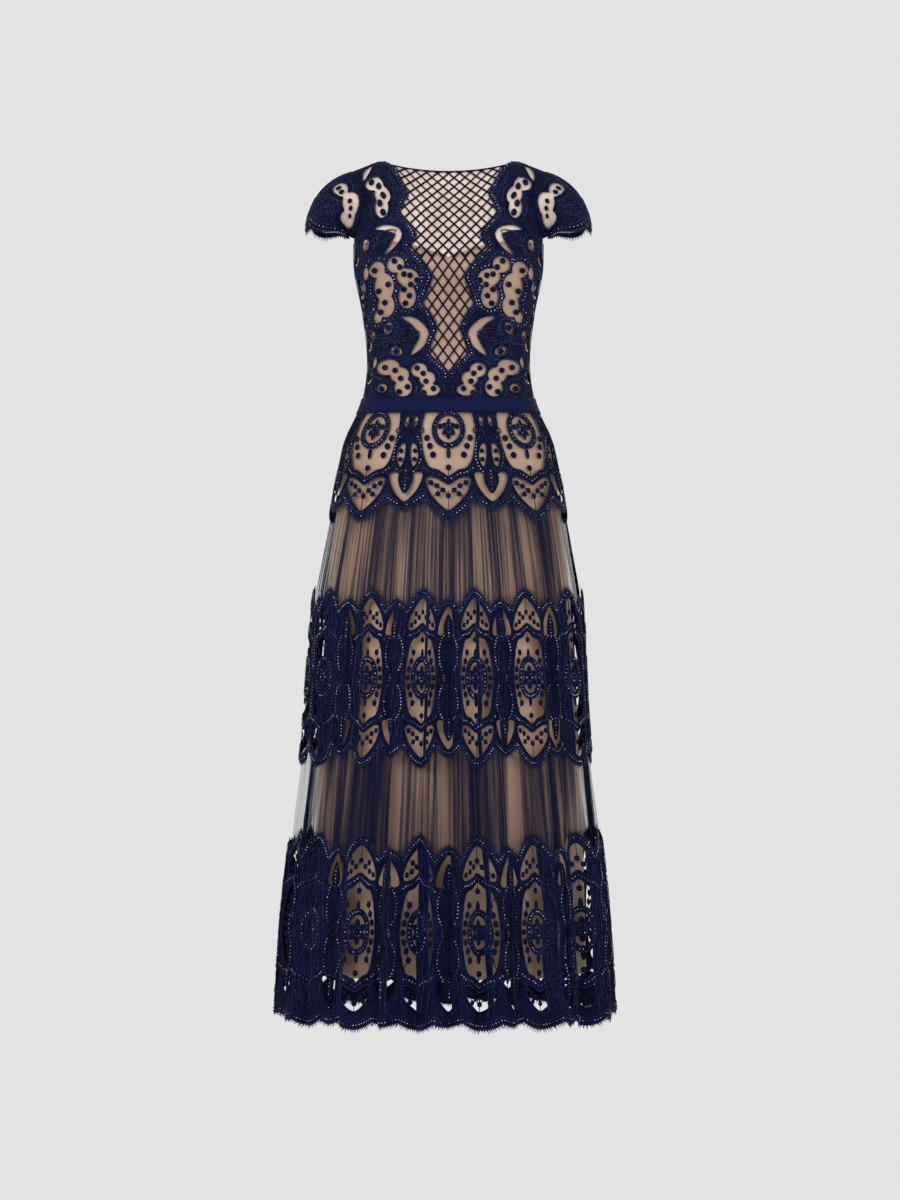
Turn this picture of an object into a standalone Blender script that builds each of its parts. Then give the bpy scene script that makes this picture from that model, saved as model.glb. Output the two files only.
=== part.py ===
"""A lace gown: a navy lace bodice with cap sleeves over a nude lining, and a skirt in tiers of lace and tulle.

Metres, +Z up. The front faces -Y and the wearer's left is at +X. The origin lies midway between the two neck
points, where the shoulder seams begin, so all of the gown hangs below it.
"""

import math

import bpy
import numpy as np
from mathutils import Vector
from mathutils.geometry import delaunay_2d_cdt

# ---------------------------------------------------------------- driving dimensions
SEAM = 0.0003  # between two pieces at a seam
LAYER = 0.0016  # between a layer and the one under it
LINING_WALL = 0.0010
TULLE_WALL = 0.0012
NET_WALL = 0.0011
LACE_WALL = 0.0015
RIBBON_WALL = 0.0012
LACE_LIFT = LAYER + LACE_WALL  # outer face of lace that lies on the lining
CURVED_LIFT = LACE_LIFT + 0.0010  # the same where the cloth curves both ways

NECK_HALF = 0.103  # from the middle to a neck point
NECK_FRONT, NECK_BACK = 0.062, 0.054
NECK_DIP_FRONT, NECK_DIP_BACK = 0.0190, 0.0120
SHOULDER_HALF, SHOULDER_DROP = 0.150, 0.0185
NECK_TURN = math.radians(52)  # how far round a section the neck point stands
UNDERARM = -0.1215
YOKE_RISE = 0.118  # from the underarm to the neckline, as heights are counted on the yoke
NECKLINE = UNDERARM + YOKE_RISE
ARMHOLE_SCOOP = math.radians(21)

BELT_TOP, BELT_BOTTOM = -0.3555, -0.3790
WAIST_SEAM = (BELT_TOP + BELT_BOTTOM) / 2
SWEETHEART_DIP, SWEETHEART_SIDE = -0.150, -0.124

REPEAT = 0.132  # one repeat of the lace edging, along its edge
HIP_REPEATS, MIDDLE_REPEATS, HEM_REPEATS = 7, 14, 15  # round the gown
HALF_LACE = 0.135  # from the middle of the lace edging to the tip of a wide scallop
SCALLOP_VALLEY = 0.28  # share of a repeat from a wide tip to the valley beside it
WIDE_SCALLOP, NARROW_SCALLOP = 0.031, 0.015  # how far the tips stand below the valley
HIP_TIP = -0.5380
MIDDLE_TIPS = (-0.6379, -0.9011)
HEM_TIPS = (-0.9985, -1.2825)
HEM_SHALLOW = 0.35  # how deep the hem's lower scallops are, as a share of the other edges' scallops
TULLE_1 = (-0.498, -0.668)
TULLE_2 = (-0.868, -1.030)
LINING_HEM = -1.212

FOLDS = 15  # large folds round the skirt
GATHERS_1, GATHERS_2 = 46, 38
ZIP_END = -0.470
ZIP_HALF, SLIT_HALF = 0.0044, 0.0006

NET_HALF = 0.0081  # half the width of a diamond of the net, from strand to strand
NET_HALF_TALL, NET_HALF_TALLER = 0.0083, 0.0112  # half its height above and below the bust
NET_STRAND = 0.0019

# name, height, half width, front depth, back depth: outer face of the lining
BODY = (
    ("underarm", -0.1215, 0.1385, 0.1000, 0.0980),
    ("bust", -0.1650, 0.1370, 0.1170, 0.0950),
    ("under bust", -0.2250, 0.1252, 0.1020, 0.0880),
    ("waist", -0.3000, 0.1178, 0.0920, 0.0830),
    ("belt", -0.3600, 0.1260, 0.0965, 0.0915),
    ("high hip", -0.4200, 0.1520, 0.1080, 0.1130),
    ("hip", -0.4700, 0.1610, 0.1130, 0.1240),
    ("seat", -0.5400, 0.1700, 0.1180, 0.1310),
    ("thigh", -0.6200, 0.1800, 0.1255, 0.1385),
    ("knee", -0.9500, 0.1980, 0.1500, 0.1600),
    ("lining hem", -1.2200, 0.2050, 0.1640, 0.1740),
)
# the same for the outer face of the skirt's lace and tulle, as the mean of its folds
SKIRT = (
    ("top of the tulle", -0.4800, 0.1705, 0.1215, 0.1335),
    ("seat", -0.5100, 0.1750, 0.1255, 0.1385),
    ("tips of the hip lace", -0.5355, 0.1810, 0.1295, 0.1430),
    ("upper tulle", -0.5655, 0.1865, 0.1335, 0.1470),
    ("upper tulle, low", -0.6000, 0.1930, 0.1380, 0.1515),
    ("middle lace, top", -0.6600, 0.2035, 0.1455, 0.1595),
    ("middle lace", -0.7700, 0.2100, 0.1595, 0.1735),
    ("middle lace, low", -0.9000, 0.2175, 0.1755, 0.1895),
    ("lower tulle", -0.9900, 0.2270, 0.1875, 0.2015),
    ("hem lace", -1.1200, 0.2400, 0.2030, 0.2170),
    ("hem", -1.2900, 0.2500, 0.2190, 0.2340),
)
# name, height, depth of the large folds
FOLD_DEPTH = (
    ("hip", -0.4800, 0.0000),
    ("top of the middle lace", -0.6400, 0.0020),
    ("middle lace", -0.7700, 0.0045),
    ("end of the middle lace", -0.9000, 0.0075),
    ("lower tulle", -1.0300, 0.0105),
    ("hem", -1.2900, 0.0135),
)
# name, distance from centre front, height: the scalloped edge of the front lace
FRONT_EDGE = (
    ("neckline", 0.0900, NECKLINE),
    ("tip", 0.0590, -0.0560),
    ("valley", 0.0720, -0.0870),
    ("tip", 0.0465, -0.1170),
    ("valley", 0.0580, -0.1380),
    ("tip", 0.0220, -0.1780),
    ("valley", 0.0370, -0.2180),
    ("tip", 0.0160, -0.2550),
    ("valley", 0.0290, -0.2900),
    ("low point", 0.0010, -0.3170),
)
# name, distance from the middle, height, half width, half height, lean in degrees: gaps in half of the lace
FRONT_GAPS = (
    ("shoulder cartouche", 0.1000, -0.0720, 0.0110, 0.0190, -15),
    ("petal", 0.0800, -0.1210, 0.0060, 0.0170, 40),
    ("dotted cartouche", 0.0660, -0.1870, 0.0180, 0.0320, 8),
    ("side cartouche", 0.1040, -0.1950, 0.0110, 0.0320, 0),
    ("lower petal", 0.0510, -0.2600, 0.0070, 0.0220, 15),
    ("side petal", 0.0860, -0.2620, 0.0100, 0.0180, -20),
    ("waist cartouche", 0.0700, -0.3230, 0.0180, 0.0170, 0),
)
BACK_GAPS = (
    ("shoulder cartouche", 0.0700, -0.0650, 0.0190, 0.0230, 0),
    ("upper cartouche", 0.0420, -0.1350, 0.0170, 0.0230, 0),
    ("side cartouche", 0.0980, -0.1600, 0.0140, 0.0250, 0),
    ("dotted cartouche", 0.0450, -0.2250, 0.0170, 0.0330, 0),
    ("side petal", 0.0920, -0.2450, 0.0100, 0.0260, 0),
    ("waist cartouche", 0.0550, -0.3180, 0.0180, 0.0180, 0),
)
# the same on a sleeve: distance round it from the top, how far down, half sizes, lean
SLEEVE_GAPS = (
    ("front petal", -0.0300, -0.0220, 0.0055, 0.0120, 0),
    ("front cartouche", -0.0520, -0.0330, 0.0100, 0.0100, 0),
    ("back petal", 0.0300, -0.0220, 0.0055, 0.0120, 0),
    ("back cartouche", 0.0520, -0.0330, 0.0100, 0.0100, 0),
)
# across, down: points of the gaps in one repeat of the lace edging, from the middle of its wide motif
CARTOUCHE_GAP = (
    (-0.045, 0.004),
    (-0.039, 0.044),
    (0.000, 0.068),
    (0.039, 0.044),
    (0.045, 0.004),
    (0.033, 0.004),
    (0.000, 0.045),
    (-0.033, 0.004),
)
FAN_GAP = ((-0.033, 0.082), (-0.026, 0.100), (0.000, 0.118), (0.026, 0.100), (0.033, 0.082), (0.000, 0.086))
# from the middle of the narrow motif
TULIP_GAP = (
    (-0.026, 0.066),
    (-0.020, 0.090),
    (0.000, 0.107),
    (0.020, 0.090),
    (0.026, 0.066),
    (0.014, 0.070),
    (0.000, 0.094),
    (-0.014, 0.070),
)

NAVY = (0.0075, 0.0085, 0.048)
NUDE = (0.47, 0.31, 0.22)
PALE_NUDE = (0.69, 0.55, 0.45)
ZIP_METAL = (0.03, 0.03, 0.06)


# ---------------------------------------------------------------- objects
def finish(name, colour, roughness, metallic=0.0):
    made = bpy.data.materials.new(name)
    made.use_nodes = True
    shader = made.node_tree.nodes["Principled BSDF"]
    shader.inputs["Base Color"].default_value = (*colour, 1)
    shader.inputs["Roughness"].default_value = roughness
    shader.inputs["Metallic"].default_value = metallic
    return made


def thing(name, points, faces, material):
    mesh = bpy.data.meshes.new(name)
    mesh.from_pydata(points, [], faces)
    mesh.materials.append(material)
    obj = bpy.data.objects.new(name, mesh)
    bpy.context.scene.collection.objects.link(obj)
    return obj


def cloth(name, sheet, material, mirror=False):
    """A wall of cloth between its outer and its inner points, which share their faces, with its edges closed."""
    outer, inner, faces = sheet
    count = len(outer)
    sides = [side for face in faces for side in zip(face, face[1:] + face[:1])]
    borders = set(sides)
    rims = [(end, start, start + count, end + count) for start, end in sides if (end, start) not in borders]
    points = [*outer, *inner]
    faces = [*faces, *([i + count for i in reversed(face)] for face in faces), *rims]
    if mirror:
        points = [Vector((-point.x, point.y, point.z)) for point in points]
        faces = [face[::-1] for face in faces]
    obj = thing(name, points, faces, material)
    obj.data.shade_smooth()
    return obj


# ---------------------------------------------------------------- curves and surfaces
def hermite(start, leave, end, arrive, t):
    """A point, at t from 0 to 1, of the curve that leaves its start and arrives at its end as given."""
    return (
        start * (2 * t**3 - 3 * t**2 + 1)
        + leave * (t**3 - 2 * t**2 + t)
        + end * (3 * t**2 - 2 * t**3)
        + arrive * (t**3 - t**2)
    )


def read(table, height):
    """The numbers of a table at a height, on a smooth curve through its rows."""
    heights = [row[1] for row in table]
    values = [np.array(row[2:]) for row in table]
    last = len(table) - 1
    i = next((k for k in range(last) if height >= heights[k + 1]), last - 1)

    def slope(k):
        above, below = max(k - 1, 0), min(k + 1, last)
        return (values[below] - values[above]) / (heights[below] - heights[above])

    span = heights[i + 1] - heights[i]
    t = (height - heights[i]) / span
    return hermite(values[i], slope(i) * span, values[i + 1], slope(i + 1) * span, t)


SQUARENESS = 0.12  # how much fuller than an ellipse a section is at its corners


def section(turn, half, front, back, z):
    """A point of a level section. The turn runs evenly from centre front by the wearer's left to the back."""
    depth = front if math.cos(turn) > 0 else back
    angle = turn - (half - depth) / (2 * (half + depth)) * math.sin(2 * turn)
    corner = 1 + SQUARENESS * math.sin(angle) ** 2
    return Vector((half * math.sin(angle), -depth * math.cos(angle) * corner, z))


def body(turn, z):
    return section(turn, *read(BODY, z), z)


def fold(turn):
    """The large folds, from about -1 in a trough to 1 on a ridge, uneven in width and depth."""
    phase = FOLDS * (turn + 0.10 * math.sin(2 * turn + 0.6) + 0.05 * math.sin(5 * turn + 2.0))
    return (0.78 + 0.22 * math.sin(3 * turn + 1.0)) * (math.cos(phase) + 0.2 * math.cos(2 * phase))


def skirt(turn, z, out=0.0):
    half, front, back = read(SKIRT, z)
    out += read(FOLD_DEPTH, z)[0] * fold(turn)
    return section(turn, half + out, front + out, back + out, z)


def hip(turn, z):
    """Outer face of the hip lace, which leaves the lining where the tulle begins under it."""
    share = min(max((z + 0.42) / (TULLE_1[0] + 0.42), 0), 1)
    on_lining = body(turn, z)
    level = Vector((on_lining.x, on_lining.y, 0)).normalized()
    return (on_lining + level * CURVED_LIFT).lerp(skirt(turn, z), share * share * (3 - 2 * share))


def top_edge(turn, face):
    """A point of the neckline or shoulder seam, in front (face -1) or behind (1), and the way cloth meets it."""
    if face > 0:
        turn = math.pi - turn
    across, side = abs(turn), math.copysign(1, turn)
    share = min(math.sin(across) / math.sin(NECK_TURN), 1)
    out = max(across - NECK_TURN, 0) / (math.pi / 2 - NECK_TURN)
    depth = NECK_FRONT if face < 0 else NECK_BACK
    dip = NECK_DIP_FRONT if face < 0 else NECK_DIP_BACK
    x = NECK_HALF * share + (SHOULDER_HALF - NECK_HALF) * out
    y = depth * (1 - share**2) ** 0.8 + SEAM / 2
    z = -dip * (1 - share**2) - SHOULDER_DROP * out
    arrive = Vector((0, -face * (0.045 + 0.065 * share**3), 0.100 - 0.100 * share**3))
    return Vector((side * x, face * y, z)), arrive


def bodice(across, height, face):
    """Outer face of the bodice's lining. Across runs from -1 to 1, between the side seams and the armholes."""
    rise = (height - UNDERARM) / YOKE_RISE
    edge = math.pi / 2 - ARMHOLE_SCOOP * max(math.sin(math.pi * max(rise, 0)), 0)
    turn = across * edge + (math.pi if face > 0 else 0)
    if rise <= 0:
        return body(turn, height)
    start = body(turn, UNDERARM)
    step = 0.002
    leave = (start - body(turn, UNDERARM - step)) * (YOKE_RISE / step)
    end, arrive = top_edge(turn, face)
    return hermite(start, leave, end, arrive, rise)


def armhole(way):
    """The armhole of the wearer's left, from the underarm in front (-1) over the shoulder (0) to behind (1)."""
    face = math.copysign(1, way)
    return bodice(-face, UNDERARM + YOKE_RISE * (1 - abs(way)), face)


SLEEVE_ROUND, SLEEVE_DOWN = 0.100, 0.070  # half the armhole's length, and from the shoulder to the tip
SLEEVE_TIP = Vector((0.2105, 0, -0.1040))
SLEEVE_FRONT_DROP = 0.0110  # how much lower the sleeve's edge is at the underarm than at its tip


def sleeve(around, down):
    """The cap sleeve of the wearer's left: around and down in metres, down being negative."""
    way, share = around / SLEEVE_ROUND, -down / SLEEVE_DOWN
    start = armhole(way)
    out = math.cos(math.pi / 2 * way)
    edge = Vector((
        0.1425 + (SLEEVE_TIP.x - 0.1425) * out,
        0.056 * math.sin(math.pi * way),
        SLEEVE_TIP.z - SLEEVE_FRONT_DROP * (1 - out),
    ))
    leave = Vector((0.075 * out + 0.02, 0.55 * (edge.y - start.y), -0.024 * out))
    arrive = Vector((0.004, 0, -0.045 - 0.085 * out))
    return hermite(start, leave, edge, arrive, share)


def layer(surface, flat, lift, wall):
    """The outer and inner points of a cloth that lies on a surface, moved out along the surface's normals."""
    step = 1e-4
    outer, inner = [], []
    for a, b in flat:
        right = surface(a + step, b) - surface(a - step, b)
        up = surface(a, b + step) - surface(a, b - step)
        out = right.cross(up).normalized()
        outer.append(surface(a, b) + out * lift)
        inner.append(surface(a, b) + out * (lift - wall))
    return outer, inner


# ---------------------------------------------------------------- sheets
def inside(point, outline):
    """Whether the point lies inside the closed outline."""
    x, y = point
    found = False
    for (x0, y0), (x1, y1) in zip(outline, outline[1:] + outline[:1]):
        if (y0 > y) != (y1 > y) and x < x0 + (y - y0) / (y1 - y0) * (x1 - x0):
            found = not found
    return found


def distance(point, outline):
    """From the point to the nearest stretch of the outline."""
    point = Vector(point)
    nearest = math.inf
    for start, end in zip(outline, outline[1:] + outline[:1]):
        start, run = Vector(start), Vector(end) - Vector(start)
        share = min(max((point - start).dot(run) / max(run.length_squared, 1e-12), 0), 1)
        nearest = min(nearest, (point - start - run * share).length)
    return nearest


def cut_flat(outline, gaps, columns, rows):
    """A flat piece of the outline with the gaps cut through, as points and triangles.

    The columns and rows say where it has more points, so that it can follow a shape. Every second row has its
    points between the columns.
    """
    loops = [outline, *gaps]
    flat = [Vector(point) for loop in loops for point in loop]
    edges = []
    for loop in loops:
        first = len(edges)
        edges += [(first + i, first + (i + 1) % len(loop)) for i in range(len(loop))]
    clear = 0.0065
    between = [(a + b) / 2 for a, b in zip(columns, columns[1:])]
    for i, b in enumerate(rows):
        for a in between if i % 2 else columns:
            if inside((a, b), outline) and all(distance((a, b), loop) > clear for loop in loops):
                if not any(inside((a, b), gap) for gap in gaps):
                    flat.append(Vector((a, b)))
    points, _, faces, *_ = delaunay_2d_cdt(flat, edges, [], 1, 1e-7)
    kept = []
    for face in faces:
        middle = sum((points[i] for i in face), Vector((0, 0))) / len(face)
        if inside(middle, outline) and not any(inside(middle, gap) for gap in gaps):
            kept.append(list(face))
    used = sorted({i for face in kept for i in face})
    place = {i: n for n, i in enumerate(used)}
    return [points[i] for i in used], [[place[i] for i in face] for face in kept]


def cut_sheet(surface, lift, wall, outline, gaps, columns, rows):
    flat, faces = cut_flat(outline, gaps, columns, rows)
    return *layer(surface, flat, lift, wall), faces


def plain_faces(columns, rows):
    """The faces of a sheet of rows and columns of points, which run to the right and upwards."""
    corners = [r * columns + c for r in range(rows - 1) for c in range(columns - 1)]
    return [[corner, corner + 1, corner + columns + 1, corner + columns] for corner in corners]


def plain_sheet(surface, lift, wall, columns, rows):
    flat = [(a, b) for b in rows for a in columns]
    return *layer(surface, flat, lift, wall), plain_faces(len(columns), len(rows))


def steps(start, end, count):
    return [start + (end - start) * i / count for i in range(count + 1)]


# ---------------------------------------------------------------- bodice
QUARTER = 0.190  # a quarter of the bodice's girth, by which its pieces are laid out flat
SIDE = QUARTER - SEAM / 2
SEAM_HEIGHTS = (WAIST_SEAM, -0.335, -0.295, -0.255, -0.215, -0.175, -0.148)
YOKE_HEIGHTS = (UNDERARM, -0.095, -0.065, -0.038, -0.020, -0.0105, NECKLINE)
NECK_SHARE = NECK_TURN / (math.pi / 2)  # how far across a front or a back the neck point stands
HALF_COLUMNS = [QUARTER * share for share in (0.15, 0.30, 0.44, NECK_SHARE, 0.73, 0.88)]
BODICE_COLUMNS = [*(-a for a in reversed(HALF_COLUMNS)), 0, *HALF_COLUMNS]
BODICE_ROWS = (*SEAM_HEIGHTS[1:], *YOKE_HEIGHTS[:-1])


def front(a, b):
    return bodice(a / QUARTER, b, -1)


def back(a, b):
    return bodice(a / QUARTER, b, 1)


def across_at(x, height, face):
    """Where on the flat piece a distance from the middle falls, at a height."""
    low, high = 0.0, 1.0
    for _ in range(30):
        middle = (low + high) / 2
        if abs(bodice(middle, height, face).x) < x:
            low = middle
        else:
            high = middle
    return low * QUARTER


def leaf(x, height, half_wide, half_tall, lean, place):
    """An oval gap of six points, with one at each end."""
    ring = []
    lean = math.radians(lean)
    for i in range(6):
        u = half_wide * math.sin(math.tau * i / 6) / math.sin(math.tau / 6)
        v = -half_tall * math.cos(math.tau * i / 6)
        across = x + u * math.cos(lean) - v * math.sin(lean)
        ring.append(place(across, height + u * math.sin(lean) + v * math.cos(lean)))
    return ring


def sweetheart(a):
    """Height of the lining's top edge in front."""
    rise = math.sin(math.pi / 2 * min(abs(a) / QUARTER / 0.55, 1))
    return SWEETHEART_DIP + (SWEETHEART_SIDE - SWEETHEART_DIP) * rise


def make_bodice_lining(nude, pale):
    """The nude lining up to a sweetheart edge, and nude mesh above it; the backs leave room for the zip."""
    hearts = [-SIDE, *BODICE_COLUMNS, SIDE]
    outline = [(SIDE, b) for b in (*SEAM_HEIGHTS, SWEETHEART_SIDE)]
    outline += [(a, sweetheart(a)) for a in hearts[-2:0:-1]]
    outline += [(-SIDE, b) for b in (SWEETHEART_SIDE, *reversed(SEAM_HEIGHTS))]
    outline += [(a, WAIST_SEAM) for a in BODICE_COLUMNS]
    sheet = cut_sheet(front, 0, LINING_WALL, outline, [], BODICE_COLUMNS, BODICE_ROWS)
    cloth("lining_bodice_front", sheet, nude)

    outline = [(a, sweetheart(a) + SEAM) for a in hearts] + [(SIDE, b) for b in YOKE_HEIGHTS]
    outline += [(a, NECKLINE) for a in reversed(BODICE_COLUMNS)]
    outline += [(-SIDE, b) for b in reversed(YOKE_HEIGHTS)]
    sheet = cut_sheet(front, 0, LINING_WALL, outline, [], BODICE_COLUMNS, BODICE_ROWS)
    cloth("yoke_mesh_front", sheet, pale)

    split = SWEETHEART_SIDE + SEAM
    pieces = (
        ("lining_bodice_back", (*SEAM_HEIGHTS, SWEETHEART_SIDE), nude),
        ("yoke_mesh_back", (split, *YOKE_HEIGHTS), pale),
    )
    for name, heights, material in pieces:
        middle = [(across_at(ZIP_HALF + SEAM, b, 1), b) for b in reversed(heights)]
        outline = [(SIDE, b) for b in heights] + [(a, heights[-1]) for a in reversed(HALF_COLUMNS)]
        outline += middle + [(a, heights[0]) for a in HALF_COLUMNS]
        sheet = cut_sheet(back, 0, LINING_WALL, outline, [], BODICE_COLUMNS, BODICE_ROWS)
        cloth(f"{name}_right", sheet, material)
        cloth(f"{name}_left", sheet, material, mirror=True)


def front_edge(inset=0.0):
    """The scalloped edge from the neckline down, on the flat piece."""
    edge = []
    for (_, x0, b0), (kind, x1, b1) in zip(FRONT_EDGE, FRONT_EDGE[1:]):
        bow = 0.004 if kind == "tip" else -0.001
        count = max(2, round((b0 - b1) / 0.012))
        for share in steps(0, 1, count)[:-1]:
            x = x0 + (x1 - x0) * share - 4 * bow * share * (1 - share) - inset
            b = b0 + (b1 - b0) * share
            edge.append((across_at(x, b, -1), b))
    _, x, b = FRONT_EDGE[-1]
    return edge + [(across_at(x - inset, b + inset, -1), b + inset)]


def make_bodice_lace(navy):
    """Four pieces of lace: two fronts with scalloped edges, and two backs that meet over the zip."""
    heights = (*SEAM_HEIGHTS, *YOKE_HEIGHTS)
    low_point = FRONT_EDGE[-1][2]
    front_middle = front_edge() + [(across_at(SEAM / 2, b, -1), b) for b in (low_point - 0.003, WAIST_SEAM)]
    back_middle = [(across_at(SLIT_HALF, b, 1), b) for b in reversed(heights)]
    for name, surface, face, middle, gaps, plus in (
        ("lace_bodice_front", front, -1, front_middle, FRONT_GAPS, "left"),
        ("lace_bodice_back", back, 1, back_middle, BACK_GAPS, "right"),
    ):

        def place(x, b):
            return across_at(x, b, face), b

        outline = [(SIDE, b) for b in heights]
        outline += [(a, NECKLINE) for a in reversed(HALF_COLUMNS) if a > middle[0][0] + 0.005] + middle
        outline += [(a, WAIST_SEAM) for a in HALF_COLUMNS]
        cuts = [leaf(*row[1:], place) for row in gaps]
        sheet = cut_sheet(surface, LACE_LIFT, LACE_WALL, outline, cuts, BODICE_COLUMNS, BODICE_ROWS)
        minus = "right" if plus == "left" else "left"
        cloth(f"{name}_{plus}", sheet, navy)
        cloth(f"{name}_{minus}", sheet, navy, mirror=True)


def make_net(navy):
    """The net between the two scalloped edges, with its diamonds cut through."""
    edge = front_edge(2 * SEAM)
    outline = list(reversed(edge)) + [(a, NECKLINE) for a in reversed(BODICE_COLUMNS) if abs(a) < edge[0][0]]
    outline += [(-a, b) for a, b in edge[:-1]]
    gaps = []
    height, row = NECKLINE - 0.004, 0
    while height > FRONT_EDGE[-1][2]:
        tall = NET_HALF_TALL if height > FRONT_EDGE[5][2] else NET_HALF_TALLER
        height -= tall
        shrunk = 1 - NET_STRAND / 2 * math.hypot(NET_HALF, tall) / (NET_HALF * tall)
        wide, high = NET_HALF * shrunk, tall * shrunk
        for i in range(-7, 8):
            x = (2 * i + row % 2) * NET_HALF
            corners = [(x + wide, height), (x, height + high), (x - wide, height), (x, height - high)]
            gap = [(math.copysign(across_at(abs(u), v, -1), u), v) for u, v in corners]
            if all(inside(corner, outline) and distance(corner, outline) > NET_STRAND for corner in gap):
                gaps.append(gap)
        row += 1
    cloth("net_front", cut_sheet(front, LAYER + NET_WALL, NET_WALL, outline, gaps, [], []), navy)


def make_sleeves(navy, pale):
    """Cap sleeves: nude mesh under lace with a scalloped edge."""
    ends, seam = 0.090, -0.0070
    columns, rows = steps(-ends, ends, 11), (-0.018, -0.034, -0.050)
    scallops = 3.5
    outline = []
    for around in steps(-ends, ends, 14):
        wave = abs(math.cos(math.pi * scallops * around / (2 * ends)))
        outline.append((around, 0.0055 - 0.0055 * wave - SLEEVE_DOWN))
    outline += [(ends, -0.034), *((a, seam) for a in reversed(columns)), (-ends, -0.034)]
    for name, lift, wall, gaps, material in (
        ("sleeve_mesh", 0.0, LINING_WALL, (), pale),
        ("sleeve_lace", CURVED_LIFT, LACE_WALL, SLEEVE_GAPS, navy),
    ):
        cuts = [leaf(*row[1:], lambda a, b: (a, b)) for row in gaps]
        sheet = cut_sheet(sleeve, lift, wall, outline, cuts, columns, rows)
        cloth(f"{name}_left", sheet, material)
        cloth(f"{name}_right", sheet, material, mirror=True)


# ---------------------------------------------------------------- skirt
GIRTH = 0.200  # radius by which the skirt's pieces are laid out flat
SLIT_TURN = SLIT_HALF / 0.125


def body_round(a, b):
    return body(a / GIRTH, b)


def hip_round(a, b):
    return hip(a / GIRTH, b)


def skirt_round(a, b):
    return skirt(a / GIRTH, b)


def make_ribbon(navy):
    end = (math.pi - SLIT_TURN) * GIRTH
    columns = steps(-end, end, 36)
    lift = CURVED_LIFT + LAYER / 2 + RIBBON_WALL
    cloth("waist_ribbon", plain_sheet(body_round, lift, RIBBON_WALL, columns, (BELT_BOTTOM, BELT_TOP)), navy)


def make_skirt_lining(nude):
    """The slip under the skirt: a front and two backs, which leave room for the zip at the top."""
    legs, top = (LINING_HEM, -0.90, -0.62, -0.54), (-0.42, WAIST_SEAM - SEAM)
    quarter = math.pi / 2 * GIRTH
    rows = (*legs, ZIP_END, *top)
    sheet = plain_sheet(body_round, 0, LINING_WALL, steps(-quarter + SEAM, quarter - SEAM, 16), rows)
    cloth("lining_skirt_front", sheet, nude)

    def slip_back(share, b):
        """The edge at centre back steps aside for the zip."""
        start = across_at(ZIP_HALF + 2 * SEAM if b > ZIP_END - 0.015 else SEAM / 2, b, 1)
        return back(start + (SIDE - start) * share, b)

    rows = (*legs, ZIP_END - 0.02, ZIP_END - 0.01, *top)
    sheet = plain_sheet(slip_back, 0, LINING_WALL, steps(0, 1, 8), rows)
    cloth("lining_skirt_back_right", sheet, nude)
    cloth("lining_skirt_back_left", sheet, nude, mirror=True)


def scallop(p):
    """How far down the lace edging reaches, p being counted in repeats from the tip of a wide scallop."""
    p = abs((p + 0.5) % 1 - 0.5)
    valley = HALF_LACE - WIDE_SCALLOP
    if p < SCALLOP_VALLEY:
        return valley + WIDE_SCALLOP * (1 - (p / SCALLOP_VALLEY) ** 1.7)
    return valley + NARROW_SCALLOP * (1 - ((0.5 - p) / (0.5 - SCALLOP_VALLEY)) ** 1.7)


EDGE_STEPS = (-0.5, -SCALLOP_VALLEY, -0.15, 0.0, 0.15, SCALLOP_VALLEY)


def edge_ways(first, count):
    """Where a lace edge has its points, from the middle of one narrow motif to that of another."""
    return [first + i + p for i in range(count) for p in EDGE_STEPS] + [first + count - 0.5]


def make_hip_lace(navy):
    """Lace from the waist seam to a scalloped edge, in one front and two backs that meet over the zip."""
    middle = HIP_TIP + HALF_LACE
    repeat = math.tau * GIRTH / HIP_REPEATS
    stretch = repeat / REPEAT
    top = WAIST_SEAM - SEAM
    for name, first, count in (("front", -1, 3), ("back_left", 2, 2), ("back_right", 4, 2)):
        ways = edge_ways(first, count)
        low, high = ways[0] * repeat + SEAM, ways[-1] * repeat - SEAM
        if name == "back_left":
            high = (math.pi - SLIT_TURN) * GIRTH
        if name == "back_right":
            low = (math.pi + SLIT_TURN) * GIRTH
        outline = [(min(max(p * repeat, low), high), middle - scallop(p)) for p in ways]
        sides = (-0.48, -0.44, -0.40)
        columns = steps(low, high, 6 * count)
        outline += [(high, b) for b in sides] + [(a, top) for a in reversed(columns)]
        outline += [(low, b) for b in reversed(sides)]
        gaps = []
        for i in range(count):
            wide = (first + i) * repeat
            gaps += [[(wide + x * stretch, middle - q) for x, q in gap] for gap in (CARTOUCHE_GAP, FAN_GAP)]
            if i:
                gaps.append([(wide - repeat / 2 + x * stretch, middle - q) for x, q in TULIP_GAP])
        sheet = cut_sheet(hip_round, 0, LACE_WALL, outline, gaps, columns, sides)
        cloth(f"hip_lace_{name}", sheet, navy)


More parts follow.
